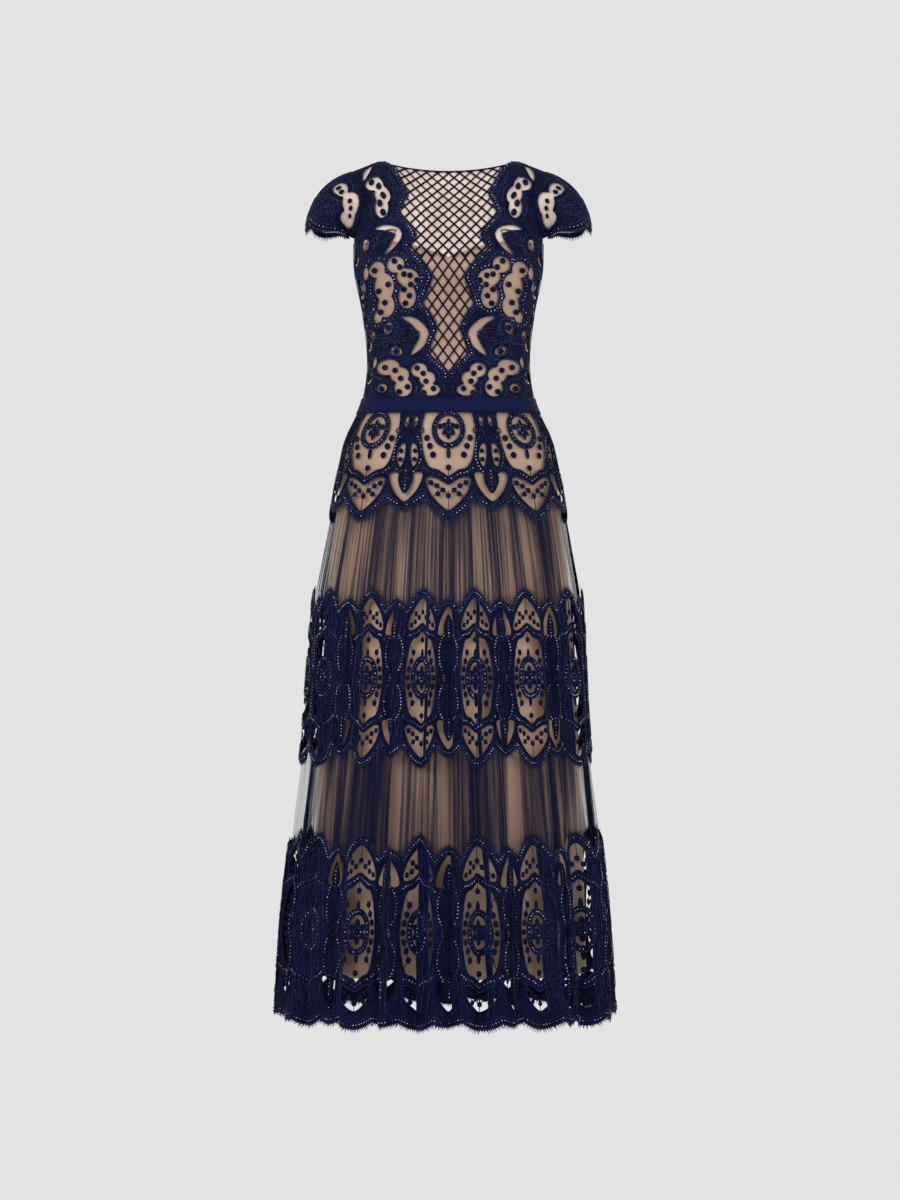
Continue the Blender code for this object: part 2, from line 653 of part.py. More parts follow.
def make_lace_band(name, navy, tips, repeats, halves, low_edge=1.0):
    """A band of lace with both edges scalloped, over the folds, in a front and a back.

    The low edge's scallops may be made shallower, with their tips where they are.
    """
    middle = (tips[0] + tips[1]) / 2
    tall = (tips[0] - tips[1]) / 2 / HALF_LACE
    repeat = math.tau * GIRTH / repeats
    stretch = repeat / REPEAT
    reach = scallop(0.5) * tall
    sides = steps(middle - reach, middle + reach, 5)[1:-1]
    for half, first, count in halves:
        ways = edge_ways(first, count)
        low, high = (ways[0] - 0.5) * repeat + SEAM, (ways[-1] - 0.5) * repeat - SEAM
        place = [(min(max((p - 0.5) * repeat, low), high), scallop(p) * tall) for p in ways]
        full = HALF_LACE * tall
        outline = [(a, middle - full + (full - q) * low_edge) for a, q in place] + [(high, b) for b in sides]
        outline += [(a, middle + q) for a, q in reversed(place)] + [(low, b) for b in reversed(sides)]
        gaps = []
        for i in range(count):
            wide = (first + i - 0.5) * repeat
            below = [(wide + x * stretch, middle - q * tall) for x, q in CARTOUCHE_GAP]
            gaps += [below, [(a, 2 * middle - b) for a, b in reversed(below)]]
        columns = steps(low, high, 4 * count)
        rows = steps(middle - 0.098 * tall, middle + 0.098 * tall, 2)
        cloth(f"{name}_{half}", cut_sheet(skirt_round, 0, LACE_WALL, outline, gaps, columns, rows), navy)


def make_tulle(name, navy, reach, gathers, depths, tuck):
    """A gathered tier: ridges and troughs of uneven depth on the large folds.

    The depths are those at its top and bottom, where the tier is tucked in under the lace.
    """
    top, bottom = reach
    heights = steps(bottom, top, 2)
    for half, start in (("front", -math.pi / 2), ("back", math.pi / 2)):
        outer, inner = [], []
        for z in heights:
            for i in range(gathers + 1):
                depth = depths[0] + (depths[1] - depths[0]) * (z - top) / (bottom - top)
                clear = LACE_WALL + LAYER + depth + tuck * abs(2 * (z - top) / (bottom - top) - 1)
                ridge = depth * (0.7 + 0.3 * math.sin(1.7 * i)) * (1 if i % 2 else -1)
                seam = SEAM / GIRTH * (1 - 2 * i / gathers)
                turn = start + math.pi * i / gathers + seam
                outer.append(skirt(turn, z, ridge - clear))
                inner.append(skirt(turn, z, ridge - clear - TULLE_WALL))
        cloth(f"{name}_{half}", (outer, inner, plain_faces(gathers + 1, len(heights))), navy)


# ---------------------------------------------------------------- zip at centre back
SLIDER_HEIGHT = NECKLINE - 0.012
SLIDER_HALF_WIDE, SLIDER_HALF_TALL = 0.0025, 0.0042
PLATE = (LACE_LIFT + 0.0008, LACE_LIFT + 0.0020)  # how far out the slider's outer plate lies
BRIDGE_INSIDE, BRIDGE_OUTSIDE = PLATE[1] + 0.0022, PLATE[1] + 0.0032
PIVOT_OUT = PLATE[1] + 0.0011
TAB_THICK = 0.0009
# how far down from the pivot, half width: outline of the pull tab
TAB = ((-0.0005, 0.0021), (0.0070, 0.0021), (0.0150, 0.0032), (0.0215, 0.0032), (0.0240, 0.0018))
TAB_WINDOW = (0.0005, 0.0050, 0.0011)  # from, to, half width


def zip_frame():
    """Where the slider sits on the back: its middle on the lining's face, the way up, and the way out."""
    here = back(0, SLIDER_HEIGHT)
    up = (back(0, SLIDER_HEIGHT + 0.004) - back(0, SLIDER_HEIGHT - 0.004)).normalized()
    return here, up, Vector((-1, 0, 0)).cross(up).normalized()


def box(name, x, up, out, material):
    """A block on the slider's frame, given by its reach in each direction."""
    here, way_up, way_out = zip_frame()
    points = [
        here + Vector((side, 0, 0)) + way_up * u + way_out * o for o in out for u in up for side in (x, -x)
    ]
    faces = [(0, 2, 3, 1), (4, 5, 7, 6), (0, 1, 5, 4), (2, 6, 7, 3), (0, 4, 6, 2), (1, 3, 7, 5)]
    return thing(name, points, faces, material)


def make_zip(navy, metal):
    """A concealed zip at centre back: its chain under the slit, the slider at the neck, and the pull tab."""
    heights = (ZIP_END, -0.43, -0.395, *SEAM_HEIGHTS, *YOKE_HEIGHTS)

    def chain(side, b):
        return back(side * across_at(ZIP_HALF, b, 1), b)

    cloth("zip_chain", plain_sheet(chain, 0, LINING_WALL, (-1, 0, 1), heights), navy)

    slider = box("zip_slider", SLIDER_HALF_WIDE, (-SLIDER_HALF_TALL, SLIDER_HALF_TALL), PLATE, metal)
    bridge, post = 0.0006, 0.0032
    blocks = (
        box("slider_neck", SLIT_HALF / 2, (-0.003, 0.003), (SEAM, PLATE[1] - 0.0003), metal),
        box("slider_bridge", bridge, (-post, post), (PLATE[1] - 0.0003, BRIDGE_OUTSIDE), metal),
    )
    opening = box("slider_opening", 0.004, (-0.0022, 0.0022), (PLATE[1], BRIDGE_INSIDE), metal)
    for block in blocks:
        join = slider.modifiers.new("join", "BOOLEAN")
        join.operation, join.object = "UNION", block
    cut = slider.modifiers.new("opening", "BOOLEAN")
    cut.operation, cut.object = "DIFFERENCE", opening
    for helper in (*blocks, opening):
        helper.hide_render = True
        helper.display_type = "WIRE"

    here, up, out = zip_frame()

    def tab(a, b):
        return here + out * PIVOT_OUT + up * b + Vector((-a, 0, 0))

    outline = [(half, -down) for down, half in reversed(TAB)] + [(-half, -down) for down, half in TAB]
    start, end, half = TAB_WINDOW
    window = [(half, -start), (half, -end), (-half, -end), (-half, -start)]
    cloth("zip_pull_tab", cut_sheet(tab, TAB_THICK / 2, TAB_THICK, outline, [window], [], []), metal)


# ---------------------------------------------------------------- the gown
def build():
    for obj in list(bpy.data.objects):
        bpy.data.objects.remove(obj, do_unlink=True)
    navy = finish("navy lace", NAVY, 0.75)
    tulle = finish("navy tulle", NAVY, 0.85)
    ribbon = finish("navy grosgrain ribbon", NAVY, 0.65)
    nude = finish("nude lining", NUDE, 0.60)
    pale = finish("nude mesh", PALE_NUDE, 0.80)
    metal = finish("enamelled zip", ZIP_METAL, 0.35, 0.8)
    make_bodice_lining(nude, pale)
    make_bodice_lace(navy)
    make_net(navy)
    make_sleeves(navy, pale)
    make_ribbon(ribbon)
    make_skirt_lining(nude)
    make_hip_lace(navy)
    make_tulle("upper_tulle", tulle, TULLE_1, GATHERS_1, (0.0006, 0.0018), 0.0006)
    make_lace_band("middle_lace", navy, MIDDLE_TIPS, MIDDLE_REPEATS, (("front", -3, 7), ("back", 4, 7)))
    make_tulle("lower_tulle", tulle, TULLE_2, GATHERS_2, (0.0016, 0.0026), 0.0025)
    make_lace_band("hem_lace", navy, HEM_TIPS, HEM_REPEATS, (("front", -3, 8), ("back", 5, 7)), HEM_SHALLOW)
    make_zip(navy, metal)


build()
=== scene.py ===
"""A navy lace gown, photographed filled out and seen straight from the front."""

import math

import bpy
import numpy as np
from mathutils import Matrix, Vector
from mathutils.geometry import delaunay_2d_cdt


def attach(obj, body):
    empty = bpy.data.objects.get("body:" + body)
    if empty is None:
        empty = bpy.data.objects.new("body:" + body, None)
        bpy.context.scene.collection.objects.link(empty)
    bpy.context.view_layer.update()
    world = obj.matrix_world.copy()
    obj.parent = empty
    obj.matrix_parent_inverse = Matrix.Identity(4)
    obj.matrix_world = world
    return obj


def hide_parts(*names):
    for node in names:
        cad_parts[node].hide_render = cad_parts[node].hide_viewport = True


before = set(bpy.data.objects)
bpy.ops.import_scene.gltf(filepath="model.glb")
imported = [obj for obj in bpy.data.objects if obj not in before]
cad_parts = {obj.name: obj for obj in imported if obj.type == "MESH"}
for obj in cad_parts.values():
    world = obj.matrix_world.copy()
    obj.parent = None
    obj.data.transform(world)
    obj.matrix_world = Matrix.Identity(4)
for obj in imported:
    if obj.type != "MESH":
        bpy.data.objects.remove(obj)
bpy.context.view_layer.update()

# ------------------------------------------------------------------------------------------- studio
# Straight at the front, level with the middle of the skirt, from 6.7 m. The gown hangs above a pale floor
# in soft light from both sides of the camera, with a little more from the upper left.
camera = bpy.data.objects.new("camera", bpy.data.cameras.new("camera"))
bpy.context.scene.collection.objects.link(camera)
bpy.context.scene.camera = camera
camera.location = (0.00225, -6.70, -0.6555)
camera.rotation_euler = (math.radians(90), 0, 0)
camera.data.sensor_width = 36
camera.data.lens = 134
camera.data.clip_end = 60


def linear(code):
    """An sRGB hex colour as linear values."""
    values = [int(code[i : i + 2], 16) / 255 for i in (1, 3, 5)]
    return tuple(v / 12.92 if v <= 0.04045 else ((v + 0.055) / 1.055) ** 2.4 for v in values)


def add_node(tree, kind, inputs=None, tones=(), into=None, **settings):
    """Adds a node with its settings, a ramp's tones, a value or link for its inputs, and a link onwards."""
    made = tree.nodes.new(kind)
    for key, value in settings.items():
        setattr(made, key, value)
    for key, value in (inputs or {}).items():
        if isinstance(value, bpy.types.NodeSocket):
            tree.links.new(value, made.inputs[key])
        else:
            made.inputs[key].default_value = value
    for i, (position, code) in enumerate(tones):
        made.color_ramp.elements[i].position = position
        made.color_ramp.elements[i].color = (*linear(code), 1)
    if into:
        tree.links.new(made.outputs[0], into)
    return made


def start_material(name, coordinates, constants):
    """A material with constants on its shader, and with its tree, its shader and its coordinates."""
    material = bpy.data.materials.new(name)
    material.use_nodes = True
    tree = material.node_tree
    shader = tree.nodes["Principled BSDF"]
    for socket, value in constants.items():
        shader.inputs[socket].default_value = value
    return material, tree, shader, add_node(tree, "ShaderNodeTexCoord").outputs[coordinates]


world = bpy.data.worlds.new("studio")
bpy.context.scene.world = world
world.use_nodes = True
world.node_tree.nodes["Background"].inputs["Color"].default_value = (*linear("#E3E3E3"), 1)
bpy.context.scene.view_settings.view_transform = "Standard"

for name, place, size, power in (
    ("key light", (-2.2, -4.2, 1.3), 2.4, 110),
    ("fill light", (2.6, -4.0, 0.2), 2.6, 60),
    ("back light", (0.5, 3.6, 1.4), 2.4, 30),
):
    lamp = bpy.data.objects.new(name, bpy.data.lights.new(name, "AREA"))
    bpy.context.scene.collection.objects.link(lamp)
    lamp.data.size, lamp.data.energy = size, power
    lamp.location = place
    lamp.rotation_euler = (Vector((0, 0, -0.6)) - Vector(place)).to_track_quat("-Z", "Y").to_euler()

bpy.ops.mesh.primitive_circle_add(vertices=96, radius=1.2, fill_type="NGON", location=(0, 0, -1.75))
floor = bpy.context.object
floor.name = "floor"
matt = {"Base Color": (*linear("#DCDCDC"), 1), "Roughness": 0.9, "Specular IOR Level": 0.0}
paint, tree, shader, where = start_material("matt studio paint", "Object", matt)
# it fades out towards its edge, so that no line shows round it from above
reach = add_node(tree, "ShaderNodeVectorMath", {0: where}, operation="LENGTH").outputs["Value"]
fade = {"Value": reach, "From Min": 1.2, "From Max": 0.4}
add_node(tree, "ShaderNodeMapRange", fade, into=shader.inputs["Alpha"])
floor.data.materials.append(paint)

# ------------------------------------------------------------------------------------ bodice lining
# Nude satin, cut as a front with a sweetheart edge and two backs. It gives the bodice its form: fitted at
# the waist, rounded at the bust, rising to a shallow neckline.
UNDERARM, NECKLINE, WAIST_SEAM = -0.1215, -0.0035, -0.36725
RISE = NECKLINE - UNDERARM
# level sections: their name, height, half width, and depth in front and behind
BODY = (
    ("underarm", UNDERARM, 0.1385, 0.1000, 0.0980),
    ("bust", -0.1650, 0.1370, 0.1170, 0.0950),
    ("under bust", -0.2250, 0.1252, 0.1020, 0.0880),
    ("waist", -0.3000, 0.1178, 0.0920, 0.0830),
    ("belt", -0.3600, 0.1260, 0.0965, 0.0915),
    ("high hip", -0.4200, 0.1520, 0.1080, 0.1130),
    ("hip", -0.4700, 0.1610, 0.1130, 0.1240),
    ("seat", -0.5400, 0.1700, 0.1180, 0.1310),
    ("thigh", -0.6200, 0.1800, 0.1255, 0.1385),
    ("knee", -0.9500, 0.1980, 0.1500, 0.1600),
    ("lining hem", -1.2200, 0.2050, 0.1640, 0.1740),
)
QUARTER = 0.190  # a quarter of the bodice's girth, laid out flat
SIDE = QUARTER - 0.00015
ZIP_SIDE = 0.0047  # the linings' edges beside the zip, from centre back
LINING_BACK = -0.124  # the lining's top edge behind, where the mesh begins
SEAM_GAP = 0.0003  # between pieces that are sewn together
CLOTH = 0.0008  # how thick most sheets are made


def table_at(table, z):
    """The columns of a table at heights z, on smooth curves through its rows."""
    rows = np.array([row[1:] for row in table])
    heights, values, last = rows[:, 0], rows[:, 1:], len(rows) - 1
    above, below = np.maximum(np.arange(last + 1) - 1, 0), np.minimum(np.arange(last + 1) + 1, last)
    slopes = (values[below] - values[above]) / (heights[below] - heights[above])[:, None]
    i = np.minimum(np.searchsorted(-heights[1:], -z, "left"), last - 1)
    span = (heights[i + 1] - heights[i])[:, None]
    t = (z - heights[i])[:, None] / span
    return hermite(values[i], slopes[i] * span, values[i + 1], slopes[i + 1] * span, t).T


def hermite(start, leave, end, arrive, t):
    return (
        start * (2 * t**3 - 3 * t**2 + 1)
        + leave * (t**3 - 2 * t**2 + t)
        + end * (3 * t**2 - 2 * t**3)
        + arrive * (t**3 - t**2)
    )


def section(turn, half, front, back, z):
    """Level sections of the gown, a little fuller than ellipses at their corners."""
    depth = np.where(np.cos(turn) > 0, front, back)
    angle = turn - (half - depth) / (2 * (half + depth)) * np.sin(2 * turn)
    corner = 1 + 0.12 * np.sin(angle) ** 2
    return np.stack([half * np.sin(angle), -depth * np.cos(angle) * corner, z], 1)


def body(turn, z):
    return section(turn, *table_at(BODY, z), z)


def top_edge(turn, face):
    """The neckline and shoulder seam, and the way that the cloth meets them."""
    neck_turn = math.radians(52)
    turn = math.pi - turn if face > 0 else turn
    across, side = np.abs(turn), np.sign(turn) + (turn == 0)
    share = np.minimum(np.sin(across) / math.sin(neck_turn), 1)
    out = np.maximum(across - neck_turn, 0) / (math.pi / 2 - neck_turn)
    depth, dip = (0.062, 0.0190) if face < 0 else (0.054, 0.0120)
    x = 0.103 * share + 0.047 * out
    y = depth * np.maximum(1 - share**2, 0) ** 0.8 + 0.00015
    z = -dip * (1 - share**2) - 0.0185 * out
    arrive = np.stack([0 * x, -face * (0.045 + 0.065 * share**3), 0.100 - 0.100 * share**3], 1)
    return np.stack([side * x, face * y, z], 1), arrive


def bodice(across, height, face):
    """The bodice. Across runs from -1 to 1 between the side seams and the armholes."""
    rise = (height - UNDERARM) / RISE
    armhole = math.radians(21) * np.maximum(np.sin(math.pi * np.maximum(rise, 0)), 0)
    turn = across * (math.pi / 2 - armhole) + (math.pi if face > 0 else 0)
    low = body(turn, np.minimum(height, UNDERARM))
    underarm = np.full_like(height, UNDERARM)
    leave = (body(turn, underarm) - body(turn, underarm - 0.002)) * RISE / 0.002
    end, arrive = top_edge(turn, face)
    high = hermite(body(turn, underarm), leave, end, arrive, np.clip(rise, 0, 1.1)[:, None])
    return np.where((rise <= 0)[:, None], low, high)


def front(a, b):
    return bodice(a / QUARTER, b, -1)


def back(a, b):
    return bodice(a / QUARTER, b, 1)


def across_at(x, height, face):
    """Where on the flat piece a distance x from the middle falls, at a height."""
    low, high = np.zeros(len(x)), np.ones(len(x))
    for _ in range(26):
        middle = (low + high) / 2
        less = np.abs(bodice(middle, height, face)[:, 0]) < np.abs(x)
        low, high = np.where(less, middle, low), np.where(less, high, middle)
    return np.sign(x) * low * QUARTER


def on_surface(surface, flat, lift):
    """Points of a surface, moved out along its normals."""
    a, b, step = flat[:, 0], flat[:, 1], 2e-4
    right = surface(a + step, b) - surface(a - step, b)
    up = surface(a, b + step) - surface(a, b - step)
    out = np.cross(right, up)
    out /= np.linalg.norm(out, axis=1)[:, None]
    return surface(a, b) + out * lift, out


def mesh_piece(name, points, faces, material, flat=None):
    """A piece of the gown. Its UV map holds where each point is on the flat cloth, in metres."""
    mesh = bpy.data.meshes.new(name)
    mesh.from_pydata(np.asarray(points).tolist(), [], [list(map(int, face)) for face in faces])
    if flat is not None:
        uv = mesh.uv_layers.new(name="UVMap")
        corners = np.zeros(len(mesh.loops), np.int32)
        mesh.loops.foreach_get("vertex_index", corners)
        uv.data.foreach_set("uv", np.asarray(flat, np.float32)[corners].ravel())
    mesh.materials.append(material)
    mesh.shade_smooth()
    piece = bpy.data.objects.new(name, mesh)
    bpy.context.scene.collection.objects.link(piece)
    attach(piece, "gown")
    return piece


def cloth(name, replaced, slot, material, surface, flat, faces, lift=0.0, thick=CLOTH, mirror=False):
    """A wall of cloth on a surface: an outer and an inner side, joined all along the edges."""
    count = len(flat)
    outer, out = on_surface(surface, flat, lift)
    points = np.concatenate([outer, outer - out * thick])
    faces = [list(map(int, face)) for face in faces]
    sides = [side for face in faces for side in zip(face, face[1:] + face[:1])]
    borders = set(sides)
    rims = [(end, start, start + count, end + count) for start, end in sides if (end, start) not in borders]
    faces = faces + [[i + count for i in reversed(face)] for face in faces] + rims
    if mirror:
        points = points * (-1, 1, 1)
        faces = [face[::-1] for face in faces]
    piece = mesh_piece(name, points, faces, material, np.concatenate([flat, flat]))
    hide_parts(*replaced)
    return piece


def pairs(a, b):
    """Two rows as pairs, or a row and one number."""
    return np.stack(np.broadcast_arrays(a, b), 1)


def grid(low, high, left, right, columns, rows):
    """A flat sheet in columns and rows. Its four edges are given as functions of the place along them."""
    share, rise = np.meshgrid(np.linspace(0, 1, columns), np.linspace(0, 1, rows))
    share, rise = share.ravel(), rise.ravel()
    middle = np.zeros_like(share)
    height = low(middle) + (high(middle) - low(middle)) * rise
    a = left(height) + (right(height) - left(height)) * share
    b = low(a) + (high(a) - low(a)) * rise
    corners = [r * columns + c for r in range(rows - 1) for c in range(columns - 1)]
    return pairs(a, b), [[i, i + 1, i + columns + 1, i + columns] for i in corners]


def level(value):
    return lambda along: np.full_like(along, value)


def beside_zip(x):
    """An upright edge behind, at a distance x from centre back."""
    return lambda b: across_at(np.full_like(b, x), b, 1)


def inner_pieces(name, node, slot, material, rows, fronts, backs):
    """A front and two backs of the bodice's inside. Each is given by low and high edge, size and area."""
    for half, mirror in (("front", False), ("back_right", False), ("back_left", True)):
        ahead = half == "front"
        low, high, size, area = fronts if ahead else backs
        left, columns = (level(-SIDE), 57) if ahead else (beside_zip(ZIP_SIDE), 29)
        flat, faces = grid(low, high, left, level(SIDE), columns, rows)
        surface, replaced = front if ahead else back, [f"{node}_{half}"]
        piece = cloth(f"{name}_{half}", replaced, slot, material, surface, flat, faces, mirror=mirror)


# satin: a smooth woven face with a soft gloss, its warp drawn 2 mm wide, where it is 0.1 mm, to show at all
satin, tree, shader, where = start_material("nude satin", "UV", {"Roughness": 0.45, "Sheen Weight": 0.15})
soft = add_node(tree, "ShaderNodeTexNoise", {"Vector": where, "Scale": 14.0, "Detail": 2.0})
nudes = (0.3, "#967A67"), (0.7, "#A98B76")
satin_with_painted_light = add_node(tree, "ShaderNodeValToRGB", {"Fac": soft.outputs["Fac"]}, nudes).outputs["Color"]
# painted light and shade: the satin is painted paler in the skirt, standing in for light that comes through
# the tiers, and painted darker near its hem, as painted shade there
height = add_node(tree, "ShaderNodeSeparateXYZ", {"Vector": where}).outputs["Y"]
for start, end, code in ((-0.50, -0.62, "#C69F85"), (-0.98, -1.10, "#AE9079")):
    share = add_node(tree, "ShaderNodeMapRange", {"Value": height, "From Min": start, "From Max": end})
    painted_light_and_shade = {"Factor": share.outputs[0], "A": satin_with_painted_light, "B": (*linear(code), 1)}
    satin_with_painted_light = add_node(tree, "ShaderNodeMix", painted_light_and_shade, data_type="RGBA").outputs["Result"]
tree.links.new(satin_with_painted_light, shader.inputs["Base Color"])
warp_scale = add_node(tree, "ShaderNodeMapping", {"Vector": where, "Scale": (500.0, 60.0, 1.0)})
warp = add_node(tree, "ShaderNodeTexNoise", {"Vector": warp_scale.outputs[0], "Scale": 1.0, "Detail": 1.0})
relief = {"Height": warp.outputs["Fac"], "Strength": 0.15, "Distance": 0.0003}
add_node(tree, "ShaderNodeBump", relief, into=shader.inputs["Normal"])


def heart_edge(a):
    """The lining's sweetheart edge."""
    return -0.150 + 0.026 * np.sin(math.pi / 2 * np.minimum(np.abs(a) / QUARTER / 0.55, 1))


inner_pieces(
    "bodice_lining", "lining_bodice", "lining", satin, 33,
    (level(WAIST_SEAM), heart_edge, (0.400, 0.245), 0.088),
    (level(WAIST_SEAM), level(LINING_BACK), (0.190, 0.243), 0.041),
)

# ----------------------------------------------------------------------------------------- yoke mesh
# Fine pale nude mesh above the lining, in front from the sweetheart edge to the neckline and behind in two
# halves up to the neck. A narrow nude binding is turned over its top edge.
mesh_cloth, tree, shader, where = start_material("pale nude mesh", "UV", {"Roughness": 0.75})
tint = add_node(tree, "ShaderNodeTexNoise", {"Vector": where, "Scale": 22.0, "Detail": 3.0})
nudes = (0.35, "#C9B1A3"), (0.65, "#DACABD")
add_node(tree, "ShaderNodeValToRGB", {"Fac": tint.outputs["Fac"]}, nudes, shader.inputs["Base Color"])
# the holes of the mesh are under 1 mm, so they show as a slight grain, drawn 1.5 mm wide
pores = add_node(tree, "ShaderNodeTexVoronoi", {"Vector": where, "Scale": 650.0})
relief = {"Height": pores.outputs["Distance"], "Strength": 0.3, "Distance": 0.0004}
add_node(tree, "ShaderNodeBump", relief, into=shader.inputs["Normal"])

inner_pieces(
    "yoke", "yoke_mesh", "mesh", mesh_cloth, 25,
    (lambda a: heart_edge(a) + SEAM_GAP, level(NECKLINE), (0.300, 0.160), 0.0400),
    (level(LINING_BACK + SEAM_GAP), level(NECKLINE), (0.150, 0.135), 0.0185),
)


class Threads:
    """Cords, sequins, beads and lashes, gathered on a surface and made one mesh."""

    def __init__(self, surface, lift, mirror=False):
        self.surface, self.lift, self.mirror = surface, lift, mirror
        self.points, self.faces, self.count = [], [], 0

    def add(self, points, faces):
        self.faces += [tuple(i + self.count for i in face) for face in faces]
        self.points.append(points)
        self.count += len(points)

    def cord(self, line, radius, closed=True):
        """A raised cord of three sides along a flat line."""
        middle, out = on_surface(self.surface, line, self.lift + radius * 0.3)
        along = np.roll(middle, -1, 0) - np.roll(middle, 1, 0) if closed else np.gradient(middle, axis=0)
        across = np.cross(out, along)
        across /= np.maximum(np.linalg.norm(across, axis=1), 1e-9)[:, None]
        n = len(line)
        faces = []
        for i in range(n if closed else n - 1):
            j = (i + 1) % n
            faces += [(k * n + i, m * n + i, m * n + j, k * n + j) for k, m in ((0, 1), (1, 2), (2, 0))]
        if not closed:
            faces += [(2 * n, n, 0), (n - 1, 2 * n - 1, 3 * n - 1)]
        ring = [middle - across * radius, middle + out * radius, middle + across * radius]
        self.add(np.concatenate(ring), faces)

    def domes(self, places, radius, high, sides, rng, tip=0.2):
        """Low domes, each tipped a little its own way: sequins, or the beads that hold them."""
        middle, out = on_surface(self.surface, places, self.lift + high)
        out = out + rng.normal(0, tip, out.shape)
        out /= np.linalg.norm(out, axis=1)[:, None]
        side = np.cross(out, (0.0, 0.0, 1.0))
        side /= np.linalg.norm(side, axis=1)[:, None]
        up = np.cross(side, out)
        turn = np.arange(sides) * math.tau / sides
        for m, o, s, u in zip(middle, out, side, up):
            rim = m + radius * (np.cos(turn)[:, None] * s + np.sin(turn)[:, None] * u)
            faces = [((i + 1) % sides, i, sides) for i in range(sides)] + [tuple(range(sides))]
            self.add(np.concatenate([rim, [m + o * radius * 0.45]]), faces)

    def lashes(self, line, length, rng):
        """Lashes to the right of an edge, each a tapered blade of threads, uneven in length and lean."""
        along = np.gradient(line, axis=0)
        along /= np.maximum(np.linalg.norm(along, axis=1), 1e-9)[:, None]
        way = pairs(along[:, 1], -along[:, 0])
        long = length * rng.uniform(0.6, 1.1, len(line))[:, None]
        tips = line + way * long + along * long * rng.normal(0, 0.16, len(line))[:, None]
        roots = [line - along * 0.0009 - way * 0.0012, line + along * 0.0009 - way * 0.0012]
        ends, out = on_surface(self.surface, np.concatenate([*roots, tips]), self.lift - 0.0003)
        n = len(line)
        backs = ends[: 2 * n] - out[: 2 * n] * 0.0005
        faces = []
        for i in range(n):
            a, b, tip, c, d = i, n + i, 2 * n + i, 3 * n + i, 4 * n + i
            faces += [(tip, b, a), (tip, c, d), (tip, d, b), (tip, a, c), (b, d, c, a)]
        self.add(np.concatenate([ends, backs]), faces)

    def piece(self, name, material, slot):
        points, faces = np.concatenate(self.points), self.faces
        if self.mirror:
            points, faces = points * (-1, 1, 1), [face[::-1] for face in faces]
        return mesh_piece(name, points, faces, material)


for name, surface in (("neck_binding_front", front), ("neck_binding_back", back)):
    binding = Threads(surface, -0.0004)
    binding.cord(pairs(np.linspace(-0.1098, 0.1098, 65), NECKLINE + 0.0004), 0.0014, closed=False)
    binding.piece(name, satin, "lining")

# --------------------------------------------------------------------------------------------- slip
# The slip under the skirt, of the same satin: a front and two backs, sewn at the sides and at centre back
# below the zip, and hanging straight from the hips to below the knee.
GIRTH = 0.200  # radius by which the skirt's pieces are laid out flat
SLIP_TOP, SLIP_HEM = -0.3675, -1.212
ZIP_END = -0.485  # the backs are apart above it, for the zip, and sewn together below it


def slip(a, b):
    """The slip, with a shallow drape that grows towards its hem."""
    turn = a / GIRTH
    grow = np.clip((-0.62 - b) / 0.6, 0, 1)
    out = grow * (0.0016 * np.sin(9 * turn + 0.7) + 0.0010 * np.sin(17 * turn + 2.1))
    half, front_depth, back_depth = table_at(BODY, b)
    return section(turn, half + out, front_depth + out, back_depth + out, b)


def beside_slit(side):
    """The edge of a back at centre back."""
    return lambda b: math.pi * GIRTH + side * np.where(b > ZIP_END, 0.0076, 0.0002)


side_seam = math.pi / 2 * GIRTH
for half, quarters, left, right in (
    ("front", 2, level(-side_seam + SEAM_GAP), level(side_seam - SEAM_GAP)),
    ("back_left", 1, level(side_seam + SEAM_GAP), beside_slit(-1)),
    ("back_right", 1, beside_slit(1), level(3 * side_seam - SEAM_GAP)),
):
    flat, faces = grid(level(SLIP_HEM), level(SLIP_TOP), left, right, 30 * quarters + 1, 43)
    piece = cloth(f"slip_{half}", [f"lining_skirt_{half}"], "lining", satin, slip, flat, faces)
    size = (quarters * math.pi / 2 * 0.175, 0.852)

# ------------------------------------------------------------------------------------ lace of the bodice
# Corded navy lace with a scalloped front edge, two fronts and two backs over the lining: dotted fields
# between thick rails, slivers beside petals, and a nearly solid ground at the sides. Cords are couched
# along each motif, with sequins on the rails and short lashes on the free edge.
LACE_LIFT = 0.0031
CORD = 0.0010  # radius of most cords
SEQUIN, BEAD = (0.0018, 0.0007), (0.0011, 0.0015)  # radius, and height over the lace
# the scalloped edge of a front: distance from the middle, and height
FRONT_EDGE = (
    ("neckline", 0.0900, NECKLINE),
    ("tip", 0.0590, -0.0560),
    ("valley", 0.0720, -0.0870),
    ("tip", 0.0465, -0.1170),
    ("valley", 0.0580, -0.1380),
    ("tip", 0.0220, -0.1780),
    ("valley", 0.0370, -0.2180),
    ("tip", 0.0160, -0.2550),
    ("valley", 0.0290, -0.2900),
    ("low point", 0.0010, -0.3170),
)


def smooth(points, step=4.0, closed=True):
    """A smooth curve through the points, in even steps."""
    given = np.array(points, float)
    if closed:
        given = np.concatenate([given[-1:], given, given[:2]])
    else:
        given = np.concatenate([2 * given[:1] - given[1:2], given, 2 * given[-1:] - given[-2:-1]])
    fine = []
    for p0, p1, p2, p3 in zip(given, given[1:], given[2:], given[3:]):
        for t in np.linspace(0, 1, 12)[:-1]:
            bend = (2 * p0 - 5 * p1 + 4 * p2 - p3) * t**2 + (3 * p1 - p0 - 3 * p2 + p3) * t**3
            fine.append(0.5 * (2 * p1 + (p2 - p0) * t + bend))
    fine.append(fine[0] if closed else given[-2])
    return spaced(np.array(fine), step, closed)


def spaced(line, step, closed=False):
    """The line with its points about a step apart."""
    run = np.concatenate([[0], np.cumsum(np.linalg.norm(np.diff(line, axis=0), axis=1))])
    count = max(int(round(run[-1] / step)), 5 if closed else 1)
    at = np.linspace(0, run[-1], count + 1)
    at = at[:-1] if closed else at
    return pairs(*(np.interp(at, run, line[:, k]) for k in (0, 1)))


